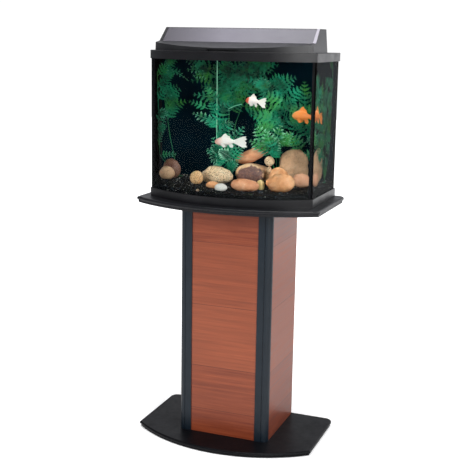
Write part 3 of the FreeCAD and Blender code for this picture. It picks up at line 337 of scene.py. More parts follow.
def clear_liquid(name, tint):
    """Water behind glass: it bends the view, mirrors from inside, and lets light through."""
    ior = 1.333
    shader = Shader(name)
    shader.finish(tint, 0.0, Transmission_Weight=1.0, IOR=ior)
    entering = shader.add("ShaderNodeBsdfRefraction", {"Color": tint, "Roughness": 0.0, "IOR": ior})
    inside = shader.add("ShaderNodeNewGeometry").outputs["Backfacing"]
    body = shader.blend(inside, entering, shader.bsdf)
    open_way = shader.add("ShaderNodeBsdfTransparent", {"Color": (0.98, 0.98, 0.96)})
    shadow = shader.add("ShaderNodeLightPath").outputs["Is Shadow Ray"]
    return shader.surface(shader.blend(shadow, body, open_way))


def rock(name, stops, speck, speck_share, shift=0.0, core=None):
    """Water-worn stone: soft patches of colour, fine specks, and a darker core where it has one."""
    shader = Shader(name)
    patches = shader.noise(25.2 + shift, 6.0, 0.62, warp=0.7)
    colour = shader.ramp(patches, stops)
    if core:
        ragged = shader.math("ADD", shader.attribute("core"),
                             shader.grey(patches, -0.22, 0.22, 0.3, 0.7))
        banded = shader.mix(shader.grey(shader.noise(120.0, 4.0, 0.7), 0.0, 0.8, 0.42, 0.62),
                            core, (0.34, 0.17, 0.12))
        colour = shader.mix(shader.grey(ragged, 0.0, 1.0, 0.30, 0.38), colour, banded)
    spots = shader.cells(270.0, "Distance")
    colour = shader.mix(shader.math("LESS_THAN", spots, speck_share), colour, speck)
    fine = shader.noise(360.0, 6.0, 0.7)
    colour = shader.mix(shader.grey(fine, 0.0, 0.30, 0.45, 0.8), colour, (0.12, 0.07, 0.04))
    shader.bump(shader.math("ADD", shader.math("MULTIPLY", patches, 0.6), fine), 0.35, 0.0010)
    return shader.finish(colour, shader.grey(fine, 0.42, 0.66, 0.3, 0.7))


def gravel_material():
    """Fine black gravel with a few grey, blue and white grains."""
    shader = Shader("gravel_grains")
    stops = [(0.0, (0.002, 0.0025, 0.0035)), (0.66, (0.007, 0.0085, 0.011)),
             (0.86, (0.035, 0.042, 0.054)), (0.92, (0.075, 0.110, 0.160)),
             (0.955, (0.28, 0.31, 0.34)), (0.982, (0.75, 0.74, 0.68))]
    fine = shader.noise(1500.0, 3.0)
    colour = shader.ramp(shader.attribute("grain_tone"), stops, "CONSTANT")
    colour = shader.mix(shader.grey(fine, 0.0, 0.2), colour, (0.012, 0.014, 0.017))
    shader.bump(fine, 0.3, 0.0004)
    return shader.finish(colour, shader.grey(fine, 0.34, 0.60), Specular_IOR_Level=0.25)


def bed_material():
    """The bed under the loose grains, in the same tones."""
    shader = Shader("gravel_bed_fill")
    grains_per_metre = 330.0
    stops = [(0.0, (0.002, 0.0025, 0.0035)), (0.72, (0.007, 0.0085, 0.011)),
             (0.88, (0.028, 0.032, 0.040)), (0.95, (0.060, 0.085, 0.120)),
             (0.985, (0.40, 0.41, 0.40))]
    colour = shader.ramp(shader.cells(grains_per_metre, "Color"), stops, "CONSTANT")
    shader.bump(shader.cells(grains_per_metre, "Distance"), 0.8, 0.002)
    return shader.finish(colour, shader.grey(shader.noise(500.0), 0.4, 0.65), Specular_IOR_Level=0.2)


def leaf_material(name, deep, bright, pale, yellow):
    """Moulded plastic fern: deep green by the rib, paler at the tips, yellower in places."""
    shader = Shader(name)
    patch = shader.noise(26.0, 4.0, 0.7)
    body = shader.ramp(patch, [(0.38, deep), (0.60, bright)])
    body = shader.mix(shader.grey(shader.noise(15.0, 2.0), 0.0, 0.7, 0.50, 0.68), body, yellow)
    colour = shader.mix(shader.grey(shader.attribute("tip"), 0.0, 0.95, 0.42, 1.05), body, pale)
    shader.bump(shader.noise(600.0, 2.0), 0.15, 0.0003)
    return shader.finish(colour, shader.grey(patch, 0.40, 0.56), Specular_IOR_Level=0.30)


def background_material():
    """Printed film behind the tank: near black, with a blue-green cast that clouds slowly."""
    shader = Shader("background_print")
    cloud = shader.noise(5.0, 4.0, 0.6, warp=0.6)
    colour = shader.ramp(cloud, [(0.30, (0.0004, 0.0085, 0.0165)), (0.70, (0.0010, 0.0160, 0.0290))])
    return shader.finish(colour, shader.grey(cloud, 0.7, 0.85), Specular_IOR_Level=0.02)


def phosphor(name):
    """The lit lamp."""
    shader = Shader(name)
    cloud = shader.noise(20.0, 2.0)
    colour = shader.mix(cloud, (0.90, 0.91, 0.88), (0.95, 0.95, 0.93))
    return shader.finish(colour, shader.grey(cloud, 0.25, 0.32),
                         Emission_Color=(1.0, 0.95, 0.86), Emission_Strength=46.0)


def clear_plastic(name):
    shader = Shader(name)
    haze = shader.noise(30.0, 3.0)
    return shader.finish(shader.mix(haze, (0.86, 0.90, 0.92), (0.92, 0.95, 0.96)),
                         shader.grey(haze, 0.10, 0.18), Alpha=0.35)


def dress_cad_nodes():
    """Every CAD piece that keeps its own shape gets its finish."""
    plank_joints = (0.078, 0.217, 0.412, 0.606)        # above the foot of the front panel
    panel_foot = min(v.co.z for v in nodes["column_front_panel"].data.vertices)
    hood_plastic = moulded_plastic("hood_black", (0.0080, 0.0080, 0.0095),
                                   (0.0120, 0.0120, 0.0140), 0.38, gloss=0.4)
    finishes = {
        "frame_plastic": moulded_plastic("frame_black", (0.0040, 0.0040, 0.0050),
                                         (0.0065, 0.0065, 0.0080), 0.36, gloss=0.32),
        "hood_plastic": hood_plastic,
        "lid_plastic": moulded_plastic("lid_black", (0.0080, 0.0082, 0.0095),
                                       (0.0115, 0.0118, 0.0135), 0.36, gloss=0.4),
        "black_silicone": moulded_plastic("silicone", (0.008, 0.008, 0.010),
                                          (0.012, 0.012, 0.014), 0.60, 300.0, 0.04),
        "background_sheet": background_material(),
        "cherry_laminate": cherry_laminate("cherry_planks",
                                           [panel_foot + joint for joint in plank_joints]),
        "black_laminate": black_board("black_foil", (0.0040, 0.0042, 0.0055),
                                      (0.0070, 0.0073, 0.0095), 0.30),
        "raw_board": turned_wood("sawn_pine", (0.44, 0.30, 0.17), (0.62, 0.46, 0.28)),
        "beech": turned_wood("beech_dowel", (0.52, 0.36, 0.22), (0.66, 0.48, 0.31)),
        "zinc_steel": plated_metal("zinc_plate", (0.72, 0.72, 0.70), 0.34),
        "nylon": moulded_plastic("nylon_pad", (0.05, 0.045, 0.04), (0.07, 0.065, 0.06), 0.5),
        "lamp_glass": phosphor("lamp_phosphor"),
        "lamp_metal": plated_metal("lamp_cap_metal", (0.80, 0.80, 0.81), 0.30),
        "white_enamel": enamel("reflector_white", (0.86, 0.86, 0.84), 0.28),
        "ballast_paint": enamel("ballast_black", (0.03, 0.03, 0.03), 0.40),
        "lead_insulation": enamel("lead_white", (0.75, 0.74, 0.70), 0.45),
        "clear_plastic": clear_plastic("lens_plastic"),
        "switch_plastic": moulded_plastic("switch_black", (0.008, 0.008, 0.009),
                                          (0.012, 0.012, 0.013), 0.22),
        "grommet_rubber": moulded_plastic("grommet", (0.010, 0.010, 0.010),
                                          (0.016, 0.016, 0.016), 0.6, 500.0),
        "holder_plastic": moulded_plastic("lampholder_white", (0.72, 0.71, 0.67),
                                          (0.80, 0.79, 0.75), 0.35),
    }
    pane_tint = (0.965, 0.985, 0.98)
    wet_pane = clear_pane("wet_pane_glass", (0.985, 0.995, 0.99), 1.01, 0.5)
    side_pane = clear_pane("side_pane_glass", pane_tint, 1.25, 0.08, ("GREATER_THAN", 0.5))
    # Painted reflection: the corner posts get a bluer copy of the black foil, for the bluish sheen on
    # them.
    post_foil = black_board("post_foil", (0.0035, 0.0075, 0.0125), (0.0060, 0.0120, 0.0190), 0.34)
    special = {
        "glass_back": wet_pane,
        "glass_floor": wet_pane,
        "glass_front": clear_pane("front_pane_glass", pane_tint, 1.25, 0.22, ("LESS_THAN", 0.7)),
        "glass_right": side_pane,
        "glass_left": side_pane,
        "end_cap_right": sloped_highlight("hood_end"),
        # Painted shade: the base plate gets a darker copy of the black foil, with less gloss as well.
        "base_plate": black_board("base_foil", (0.0025, 0.0026, 0.0034),
                                  (0.0042, 0.0044, 0.0058), 0.10),
        "front_corner_post_right": post_foil,
        "front_corner_post_left": post_foil,
        "fascia_panel": fascia_painted_sheen(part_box("fascia_panel")),
    }
    for part in frame["record"]["subparts"]:
        finish = special.get(part["node"], finishes.get(part["material_slot"]))
        if finish:
            for slot in nodes[part["node"]].material_slots:
                slot.material = finish


# ------------------------------------------------------------------ mesh helpers
def in_scene(name, data):
    """A new object of some data, in the scene."""
    made = bpy.data.objects.new(name, data)
    bpy.context.scene.collection.objects.link(made)
    return made


class Builder:
    """Collects closed pieces of mesh, and makes one object of them."""

    def __init__(self):
        self.points = []
        self.faces = []
        self.values = []

    def add(self, points, faces, values=None):
        start = len(self.points)
        self.points.extend(points)
        self.faces.extend(tuple(start + index for index in face) for face in faces)
        self.values.extend(values or [0.0] * len(points))

    def object(self, name, material, sharp, attribute=None):
        """One smooth object, creased where it turns by more than the sharp angle in degrees."""
        mesh = bpy.data.meshes.new(name)
        mesh.from_pydata([tuple(p) for p in self.points], [], self.faces)
        if attribute:
            layer = mesh.attributes.new(attribute, "FLOAT", "POINT")
            layer.data.foreach_set("value", self.values)
        outward = bmesh.new()
        outward.from_mesh(mesh)
        bmesh.ops.recalc_face_normals(outward, faces=outward.faces)
        outward.to_mesh(mesh)
        outward.free()
        mesh.shade_smooth()
        mesh.set_sharp_from_angle(angle=math.radians(sharp))
        mesh.materials.append(material)
        return in_scene(name, mesh)


def rings_to_faces(count, sides):
    """Side faces of a loft whose rings follow each other, and its two end fans."""
    faces = []
    for ring in range(count - 1):
        for side in range(sides):
            after = (side + 1) % sides
            low = ring * sides
            faces.append((low + side, low + after, low + sides + after, low + sides + side))
    faces.append(tuple(reversed(range(sides))))
    faces.append(tuple(range((count - 1) * sides, count * sides)))
    return faces


def tube(builder, path, radii, sides, values=None):
    """A round bar along a path, with a radius and a value at each of its points."""
    never_along = Vector((0.31, 0.95, 0.05))
    points = []
    ring_values = []
    for index, centre in enumerate(path):
        before = path[max(index - 1, 0)]
        after = path[min(index + 1, len(path) - 1)]
        along = (after - before).normalized()
        across = along.cross(never_along).normalized()
        other = along.cross(across)
        for side in range(sides):
            angle = 2 * math.pi * side / sides
            offset = (across * math.cos(angle) + other * math.sin(angle)) * radii[index]
            points.append(centre + offset)
            ring_values.append(values[index] if values else 0.0)
    builder.add(points, rings_to_faces(len(path), sides), ring_values)


def bezier(start, control, end, share):
    return start * (1 - share) ** 2 + control * (2 * share * (1 - share)) + end * share ** 2


def bezier_direction(start, control, end, share):
    return ((control - start) * (1 - share) + (end - control) * share).normalized()


# ------------------------------------------------------------------ stones
def loose_shapes(node):
    """The separate closed shapes of a CAD node, each as its own bmesh."""
    weld = 1e-5
    whole = bmesh.new()
    whole.from_mesh(nodes[node].data)
    bmesh.ops.remove_doubles(whole, verts=whole.verts, dist=weld)
    left = set(whole.verts)
    shapes = []
    while left:
        stack = [min(left, key=lambda v: v.index)]
        island = set(stack)
        while stack:
            for edge in stack.pop().link_edges:
                for vert in edge.verts:
                    if vert not in island:
                        island.add(vert)
                        stack.append(vert)
        left -= island
        ordered = sorted(island, key=lambda v: v.index)
        where = {vert: index for index, vert in enumerate(ordered)}
        faces = [[where[v] for v in face.verts] for face in whole.faces if face.verts[0] in island]
        shapes.append(([v.co.copy() for v in ordered], faces))
    whole.free()
    return shapes


def extent(points):
    """The low and the high corner of the box around some points."""
    low = Vector([min(p[i] for p in points) for i in range(3)])
    high = Vector([max(p[i] for p in points) for i in range(3)])
    return low, high


def stone_piece(name, shape, material, lump, seed):
    """A CAD boulder, smoothed by subdivision, then roughened and given back its size."""
    lumps_per_metre = 28.0
    points, faces = shape
    coarse = bpy.data.meshes.new(name + "_coarse")
    coarse.from_pydata([tuple(p) for p in points], [], faces)
    holder = in_scene(name + "_coarse", coarse)
    smooth = holder.modifiers.new("smooth", "SUBSURF")
    smooth.levels = 3
    graph = bpy.context.evaluated_depsgraph_get()
    mesh = bpy.data.meshes.new_from_object(holder.evaluated_get(graph))
    bpy.data.objects.remove(holder)
    low, high = extent(points)
    centre = (low + high) / 2
    size = high - low
    offset = Vector((seed * 3.7, seed * 1.3, seed * 2.1))
    normals = [v.normal.copy() for v in mesh.vertices]
    for vert, normal in zip(mesh.vertices, normals):
        place = vert.co * lumps_per_metre + offset
        big = noise.noise(place) * lump
        ridge = abs(noise.noise(place * 2.3)) * lump * 0.5
        small = noise.noise(place * 7.0) * lump * 0.16
        vert.co = vert.co + normal * (big - ridge + small)
    rough_low, rough_high = extent([v.co for v in mesh.vertices])
    for vert in mesh.vertices:
        for i in range(3):
            share = (vert.co[i] - rough_low[i]) / (rough_high[i] - rough_low[i])
            vert.co[i] = centre[i] + (share - 0.5) * size[i]
    # How near each point of the front is to the middle of the stone, for a stone with a core.
    layer = mesh.attributes.new("core", "FLOAT", "POINT")
    for vert, normal in zip(mesh.vertices, normals):
        across = (vert.co.x - centre.x - size.x * 0.02) / (size.x * 0.70)
        rise = (vert.co.z - centre.z + size.z * 0.05) / (size.z * 0.64)
        nearness = max(0.0, 1 - math.hypot(across, rise))
        layer.data[vert.index].value = nearness if normal.y < 0.1 else 0.0
    mesh.shade_smooth()
    mesh.materials.clear()
    mesh.materials.append(material)
    mesh.name = name
    return in_scene(name, mesh)


# Each rock: the colours of its patches, the colour and share of its specks, a shift that makes its
# patches its own, and the colour of its core where it has one.
rocks = {
    "tan": ([(0.28, (0.50, 0.270, 0.150)), (0.50, (0.72, 0.440, 0.265)),
             (0.72, (0.80, 0.550, 0.360))], (0.24, 0.16, 0.12), 0.20),
    "pink": ([(0.28, (0.64, 0.215, 0.095)), (0.50, (0.86, 0.390, 0.210)),
              (0.72, (0.92, 0.580, 0.380))], (0.42, 0.20, 0.11), 0.15, 3.0),
    "dark": ([(0.30, (0.84, 0.400, 0.200)), (0.50, (0.90, 0.600, 0.360)),
              (0.75, (0.94, 0.720, 0.490))], (0.45, 0.30, 0.20), 0.10, 5.0, (0.16, 0.085, 0.085)),
    "orange": ([(0.25, (0.76, 0.290, 0.105)), (0.50, (0.92, 0.430, 0.200)),
                (0.75, (0.95, 0.560, 0.320))], (0.50, 0.24, 0.11), 0.12, 7.0),
    "cream": ([(0.25, (0.74, 0.460, 0.250)), (0.50, (0.92, 0.680, 0.440)),
               (0.75, (0.95, 0.800, 0.590))], (0.20, 0.10, 0.05), 0.34, 9.0),
    "quartz": ([(0.30, (0.95, 0.90, 0.84)), (0.70, (0.98, 0.96, 0.93))],
               (0.7, 0.66, 0.60), 0.10, 11.0),
    "brick": ([(0.30, (0.84, 0.360, 0.210)), (0.70, (0.94, 0.540, 0.350))],
              (0.55, 0.28, 0.17), 0.16, 13.0),
    "yellow": ([(0.30, (0.66, 0.460, 0.170)), (0.70, (0.80, 0.640, 0.330))],
               (0.60, 0.42, 0.20), 0.12, 15.0),
    "speckled": ([(0.30, (0.80, 0.430, 0.190)), (0.70, (0.93, 0.650, 0.370))],
                 (0.30, 0.12, 0.04), 0.34, 17.0),
    "umber": ([(0.30, (0.13, 0.050, 0.034)), (0.70, (0.24, 0.115, 0.080))],
              (0.40, 0.28, 0.22), 0.10, 19.0),
}
# Each large stone: its node, its rock, and the height of its lumps.
large_stones = (("stone_tan_boulder", "tan", 0.007), ("stone_leaning_slab", "pink", 0.004),
                ("stone_dark_face", "dark", 0.004), ("stone_orange_flat", "orange", 0.004),
                ("stone_orange_front", "orange", 0.005), ("stone_speckled_cream", "cream", 0.005),
                ("stone_pink_flat", "pink", 0.004))
# Each small stone is of the rock of the nearest of these places in the layout.
small_stone_places = ((20, -47, "tan"), (171, -108, "brick"), (-107, -172, "speckled"),
                      (66, -68, "cream"), (86, -200, "yellow"), (-10, -260, "quartz"),
                      (-46, -216, "orange"), (-72, -298, "cream"), (-209, -124, "tan"),
                      (-200, -84, "umber"))


def make_stones():
    finishes = {name: rock(name + "_rock", *looks) for name, looks in rocks.items()}
    for seed, (node, kind, lump) in enumerate(large_stones):
        piece = stone_piece(node.replace("stone_", "rock_"), loose_shapes(node)[0], finishes[kind],
                            lump, seed + 1)
        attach(piece, "tank")
        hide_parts(node)
    first_small_seed = 20
    small = sorted(loose_shapes("small_stones"), key=lambda shape: min(p.x for p in shape[0]))
    for count, shape in enumerate(small):
        points = shape[0]
        middle = sum(points, Vector()) / len(points)
        kind = min(small_stone_places, key=lambda at: (layout(*at[:2], 0) - middle).xy.length)[2]
        low, high = extent(points)
        piece = stone_piece(f"rock_small_{count + 1}", shape, finishes[kind],
                            (high.x - low.x) * 0.05, count + first_small_seed)
        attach(piece, "tank")
        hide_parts("small_stones")


# ------------------------------------------------------------------ gravel
def in_bed(x, y, inset):
    return abs(x) < inner_half - inset and front_arc(x, inset) < y < inner_back - inset


def bed_bumps(x, y):
    here = Vector((x * 30.0, y * 30.0, 0.0))
    return 0.0022 * noise.noise(here) + 0.0010 * noise.noise(here * 3.1)


def make_bed():
    """A closed bed with an uneven surface, a little under the loose grains that cover it."""
    glass_gap = 0.0022
    outline_steps = 72
    rings = 26
    sunk = 0.0015
    outline = bow_outline(glass_gap, outline_steps)
    sides = len(outline)
    centre = Vector((0.0, (inner_back + inner_front) / 2, 0.0))
    points = []
    for ring in range(rings):
        share = 1 - ring / rings
        for x, y in outline:
            px = x * share
            py = centre.y + (y - centre.y) * share
            points.append(Vector((px, py, gravel_level(py) + bed_bumps(px, py) - sunk)))
    points.append(Vector((centre.x, centre.y, gravel_level(centre.y) - sunk)))
    low_start = len(points)
    points.extend(Vector((x, y, bed_foot)) for x, y in outline)
    faces = []
    for ring in range(rings - 1):
        for side in range(sides):
            after = (side + 1) % sides
            low = ring * sides
            faces.append((low + after, low + side, low + sides + side, low + sides + after))
    last = (rings - 1) * sides
    for side in range(sides):
        after = (side + 1) % sides
        faces.append((last + after, last + side, low_start - 1))
        faces.append((side, after, low_start + after, low_start + side))
    faces.append(tuple(range(low_start, low_start + sides)))
    builder = Builder()
    builder.add(points, faces)
    bed = builder.object("gravel_fill", bed_material(), sharp=50)
    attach(bed, "tank")
    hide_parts("gravel_bed")


def grain_places(rng):
    """Places over the bed, then places against the front and side glass over the bed's depth."""
    top_grains = 9000
    edge_gap = 0.0045
    sunk = 0.0008
    places = []
    while len(places) < top_grains:
        x = rng.uniform(-inner_half, inner_half)
        y = rng.uniform(inner_front, inner_back)
        if in_bed(x, y, edge_gap):
            places.append((x, y, gravel_level(y) + bed_bumps(x, y) - sunk, False))
    glass_gap = 0.0034
    outline_steps = 260
    spacing = 0.0036
    row_height = 0.0034
    wall = bow_outline(glass_gap, outline_steps)[1:-1]
    depths = np.arange(inner_corner, inner_back - 0.004, spacing)
    for side in (-1, 1):
        wall.extend((side * (inner_half - glass_gap), y) for y in depths)
    for x, y in wall:
        level = gravel_level(y)
        height = bed_foot + 0.002
        while height < level:
            places.append((x + rng.uniform(-0.0008, 0.0008), y + rng.uniform(-0.0006, 0.0006),
                           height + rng.uniform(-0.001, 0.001), True))
            height += row_height
    return places


def make_grains():
    """Loose grains: uneven icospheres, each with a tone of its own and none through the glass."""
    glass_gap = 0.0012
    half = inner_half - glass_gap
    rng = np.random.default_rng(7)
    ico = bmesh.new()
    bmesh.ops.create_icosphere(ico, subdivisions=1, radius=1.0)
    unit = np.array([v.co[:] for v in ico.verts])
    ico.verts.ensure_lookup_table()
    ico_faces = [tuple(v.index for v in face.verts) for face in ico.faces]
    ico.free()
    grains = Builder()
    for x, y, z, against_glass in grain_places(rng):
        size = rng.uniform(0.0013, 0.0026) * (0.85 if against_glass else 1.0)
        turn = Matrix.Rotation(rng.uniform(0, 2 * math.pi), 3, rng.normal(size=3).tolist())
        shape = unit * (size * rng.uniform(0.72, 1.12, (len(unit), 1)))
        shape = shape * rng.uniform(0.65, 1.1, 3)
        turned = shape @ np.array(turn).T + np.array((x, y, z))
        if against_glass:
            turned[:, 0] = turned[:, 0].clip(-half, half)
            limit = bow_centre - np.sqrt((bow_radius - glass_gap) ** 2 - turned[:, 0] ** 2)
            turned[:, 1] = np.maximum(turned[:, 1], limit)
        grains.add(turned.tolist(), ico_faces, [float(rng.random())] * len(unit))
    loose = grains.object("gravel_grains", gravel_material(), sharp=40, attribute="grain_tone")
    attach(loose, "tank")


# ------------------------------------------------------------------ plants
# Shares of a leaflet's length, each with its share of the width.
leaflet_outline = ((0.0, 0.20), (0.14, 0.85), (0.26, 0.42), (0.40, 1.0), (0.52, 0.40), (0.66, 0.78),
                   (0.78, 0.32), (1.0, 0.05))


def leaflet(builder, root, along, across, up, length, width, paleness):
    """One lobed leaf of a frond, thin and lens-shaped, that droops a little to its tip."""
    sweep = 0.42
    droop = 0.14
    points = []
    values = []
    for share, wide in leaflet_outline:
        centre = root + across * (length * share) + along * (length * sweep * share ** 1.3)
        centre = centre - up * (length * droop * share ** 2)
        swept = (along - across * 0.25) * (width * wide / 2)
        back = (along + across * 0.10) * (width * wide / 2)
        lift = up * (0.0002 + 0.0003 * wide)
        points.extend((centre - back, centre + lift, centre + swept, centre - lift))
        values.extend([paleness * share] * 4)
    builder.add(points, rings_to_faces(len(leaflet_outline), 4), values)


def frond(builder, root, tip, width, rng, paleness):
    """A fern frond: a tapering rib that arches from root to tip, with leaflets on both sides."""
    steps = 9
    rib_radius = 0.0011
    rib_taper = 0.7
    bare = 0.10                              # share of the rib without leaflets, at its root
    spacing = 0.0112
    least_pairs = 5
    length = (tip - root).length
    sag = Vector((rng.uniform(-0.08, 0.08), rng.uniform(-0.10, 0.02), rng.uniform(0.06, 0.16)))
    control = (root + tip) / 2 + sag * length
    path = [bezier(root, control, tip, step / steps) for step in range(steps + 1)]
    radii = [rib_radius * (1 - rib_taper * step / steps) for step in range(steps + 1)]
    tube(builder, path, radii, 5, [0.35 * paleness + 0.4 * paleness * step / steps
                                   for step in range(steps + 1)])
    face = Vector((rng.uniform(-0.3, 0.3), -1.0, rng.uniform(0.0, 0.5))).normalized()
    pairs = max(least_pairs, int(length * (1 - bare) / spacing))
    for pair in range(pairs):
        part = (pair + 0.5) / pairs
        share = bare + (1 - bare) * part
        here = bezier(root, control, tip, share)
        along = bezier_direction(root, control, tip, share)
        across = along.cross(face).normalized()
        up = across.cross(along).normalized()
        reach = width / 2 * min(1.0, 0.65 + 2.2 * part) * (1.0 - part) ** 0.75
        reach = (reach * 1.25 + 0.0020) * rng.uniform(0.80, 1.20)
        for side in (-1, 1):
            leaflet(builder, here, along, across * side, up, reach,
                    min(spacing * 0.92, reach * 0.62), paleness * (0.7 + 0.5 * part))


def on_stem(stem, height):
    """The point of a stem, given as places in the tank, at a height above the tank's floor."""
    for low, high in zip(stem, stem[1:]):
        if height <= high[2]:
            share = (height - low[2]) / (high[2] - low[2])
            return tuple(a + (b - a) * share for a, b in zip(low, high))
    return stem[-1]


def plant(name, node, stems, fronds, sprays, material, seed, pale_stems=()):
    """Stems from a weighted foot in the gravel, with set fronds and loose sprays of fronds.

    Places are millimetres in the tank's layout. A frond is (x, z) to (x, z) at a depth y, with its
    width and paleness. A spray is a stem, the heights it covers, a count, and the reach, width,
    lean in degrees and paleness of its fronds, whose tips the limits keep inside the glass. Paleness
    is partly the fern's own pale tips and partly painted light: fronds in shaded clusters are paler.
    """
    stem_radius = 0.0012
    side_limit = 240
    front_limit, back_limit = -150, -6
    low_limit, high_limit = 32, 388
    rng = np.random.default_rng(seed)
    builder = Builder()
    foot = layout(*stems[0][0])
    disc = [Vector((foot.x, foot.y, gravel_level(foot.y) + lift)) for lift in (-0.004, 0.0015, 0.003)]
    tube(builder, disc, [0.013, 0.012, 0.005], 14)
    for number, stem in enumerate(stems):
        path = [layout(*place) for place in stem]
        path[0].z = max(path[0].z, gravel_level(path[0].y))
        shade = 1.0 if number in pale_stems else 0.1
        tube(builder, path, [stem_radius] * len(path), 6, [shade] * len(path))
    for x0, z0, x1, z1, y, width, paleness in fronds:
        frond(builder, layout(x0, y, z0), layout(x1, y - 6, z1), width / 1000, rng, paleness)
    for index, low, high, count, reach, width, lean, paleness in sprays:
        for number in range(count):
            height = low + (high - low) * (number + rng.uniform(0, 1)) / count
            x, y, z = on_stem(stems[index], height)
            angle = math.radians(lean + (-1) ** number * rng.uniform(18, 85))
            span = reach * rng.uniform(0.75, 1.1)
            sweep = span * math.sin(angle)
            tip_x = x + sweep if abs(x + sweep) < side_limit else x - sweep
            tip_y = max(front_limit, min(back_limit, y + rng.uniform(-28, 14)))
            tip_z = min(high_limit, max(low_limit, z + span * math.cos(angle)))
            frond(builder, layout(x, y, z), layout(tip_x, tip_y, tip_z), width / 1000, rng,
                  paleness * rng.uniform(0.6, 1.15))
    piece = builder.object(name, material, sharp=60, attribute="tip")
    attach(piece, "tank")
    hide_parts(node)


def make_plants():
    # Frond paleness is partly the ferns' pale tips and partly painted light: fronds low in the dense
    # clusters are paler, to lift them out of their shade.
    emerald = leaf_material("fern_emerald", (0.0003, 0.030, 0.016), (0.003, 0.170, 0.082),
                            (0.180, 0.600, 0.400), (0.030, 0.190, 0.012))
    bright = leaf_material("fern_bright", (0.0005, 0.062, 0.034), (0.006, 0.290, 0.150),
                           (0.360, 0.820, 0.580), (0.050, 0.290, 0.040))
    plant("fern_left", "plant_left",
          [[(-190, -44, 0), (-214, -40, 150), (-236, -34, 300), (-232, -30, 376)],
           [(-190, -44, 0), (-234, -118, 100), (-243, -120, 350)]],
          [(-240, 309, -211, 259, -30, 26, 0.8), (-232, 222, -169, 262, -40, 44, 0.5),
           (-238, 350, -203, 338, -30, 30, 0.8), (-214, 352, -166, 322, -28, 12, 1.0),
           (-234, 96, -182, 104, -100, 24, 1.0), (-240, 160, -214, 214, -116, 26, 0.8),
           (-241, 336, -206, 372, -120, 34, 0.8), (-241, 300, -204, 330, -120, 34, 0.6),
           (-242, 262, -212, 302, -116, 30, 0.7), (-242, 226, -203, 222, -120, 28, 1.0),
           (-242, 196, -212, 238, -116, 30, 0.9), (-240, 176, -210, 188, -120, 26, 0.8),
           (-238, 130, -222, 172, -118, 16, 1.0)],
          [(0, 200, 376, 11, 52, 32, 0, 0.7)], emerald, 11)
    plant("fern_middle", "plant_middle",
          [[(-84, -50, 0), (-86, -48, 160), (-88, -46, 388)],
           [(-84, -72, 0), (-64, -76, 116)], [(-84, -72, 0), (-34, -80, 104)]],
          [(-112, 241, -163, 262, -40, 26, 0.4), (-93, 203, -150, 227, -50, 30, 1.0),
           (-84, 196, -62, 262, -52, 40, 0.7), (-80, 165, -38, 205, -54, 38, 0.8),
           (-54, 118, -6, 196, -64, 40, 0.9), (-60, 96, -104, 122, -74, 36, 0.9),
           (-62, 100, -88, 160, -74, 38, 0.8), (-52, 84, -92, 90, -76, 34, 1.0),
           (-40, 96, -2, 138, -78, 40, 1.0), (-44, 66, -14, 96, -84, 34, 0.9),
           (-60, 60, -96, 68, -80, 30, 0.8), (-46, 110, -30, 160, -80, 34, 0.8)],
          [(0, 150, 262, 6, 50, 30, 0, 0.9), (1, 70, 116, 2, 44, 34, -20, 1.2),
           (2, 66, 104, 2, 44, 34, 20, 1.2)], bright, 12, pale_stems=(0,))
    plant("fern_tall", "plant_tall",
          [[(-62, -20, 0), (-80, -22, 240), (-104, -26, 372)], [(-62, -20, 0), (-62, -24, 360)],
           [(-62, -20, 0), (-44, -24, 200), (0, -26, 340), (46, -24, 372)],
           [(-54, -56, 244), (-36, -60, 254), (-16, -62, 260)]],
          [(-123, 367, -175, 383, -25, 40, 0.7), (-108, 359, -171, 354, -30, 36, 0.9),
           (-104, 344, -154, 336, -35, 30, 1.0), (-86, 310, -49, 268, -40, 44, 0.5),
           (-86, 332, -32, 300, -40, 46, 0.6), (-83, 276, -57, 250, -50, 34, 0.6),
           (-70, 350, -12, 312, -38, 46, 0.5), (-50, 362, 14, 330, -36, 46, 0.6),
           (-20, 376, 52, 352, -34, 46, 0.7), (4, 384, 74, 372, -32, 40, 0.5),
           (-52, 256, 22, 334, -58, 13, 0.5)],
          [(0, 240, 372, 8, 62, 42, -30, 0.6), (1, 230, 360, 11, 66, 44, 20, 0.5),
           (2, 250, 372, 12, 62, 44, 10, 0.5)], emerald, 13, pale_stems=(3,))
    plant("fern_centre_right", "plant_centre_right",
          [[(68, -11, 0), (62, -24, 160), (48, -30, 330)], [(68, -11, 0), (84, -40, 150),
                                                           (100, -44, 300)],
           [(68, -11, 0), (70, -60, 90), (72, -66, 150)]],
          [(37, 297, 36, 338, -60, 40, 0.7), (57, 303, 124, 342, -40, 50, 0.6),
           (70, 212, 4, 236, -60, 46, 0.4), (74, 190, 18, 200, -58, 44, 0.4),
           (65, 140, 29, 194, -72, 46, 1.0), (82, 140, 97, 205, -72, 48, 1.0),
           (62, 126, 12, 156, -76, 42, 1.0), (89, 138, 124, 186, -64, 46, 0.9),
           (76, 130, 60, 186, -80, 44, 1.0), (96, 150, 128, 176, -74, 40, 0.9)],
          [(0, 170, 330, 10, 62, 46, -10, 0.5), (1, 150, 300, 10, 64, 46, 12, 0.6),
           (2, 100, 150, 5, 50, 38, 0, 1.0)], bright, 14)
    plant("fern_right", "plant_right",
          [[(200, -42, 0), (176, -50, 130), (150, -40, 250)], [(200, -42, 0), (214, -60, 160),
                                                             (206, -44, 300)],
           [(200, -42, 0), (222, -96, 110), (226, -104, 240)],
           [(200, -42, 0), (226, -26, 120), (228, -20, 374)]],
          [(146, 238, 146, 332, -40, 46, 0.4), (150, 200, 118, 236, -60, 40, 0.6),
           (160, 130, 126, 176, -76, 44, 0.7)],
          [(0, 150, 250, 8, 58, 42, -8, 0.5), (1, 140, 300, 11, 54, 42, 0, 0.6),
           (2, 90, 240, 11, 46, 36, 0, 0.7), (3, 40, 372, 18, 44, 34, 0, 0.6)], emerald, 15)


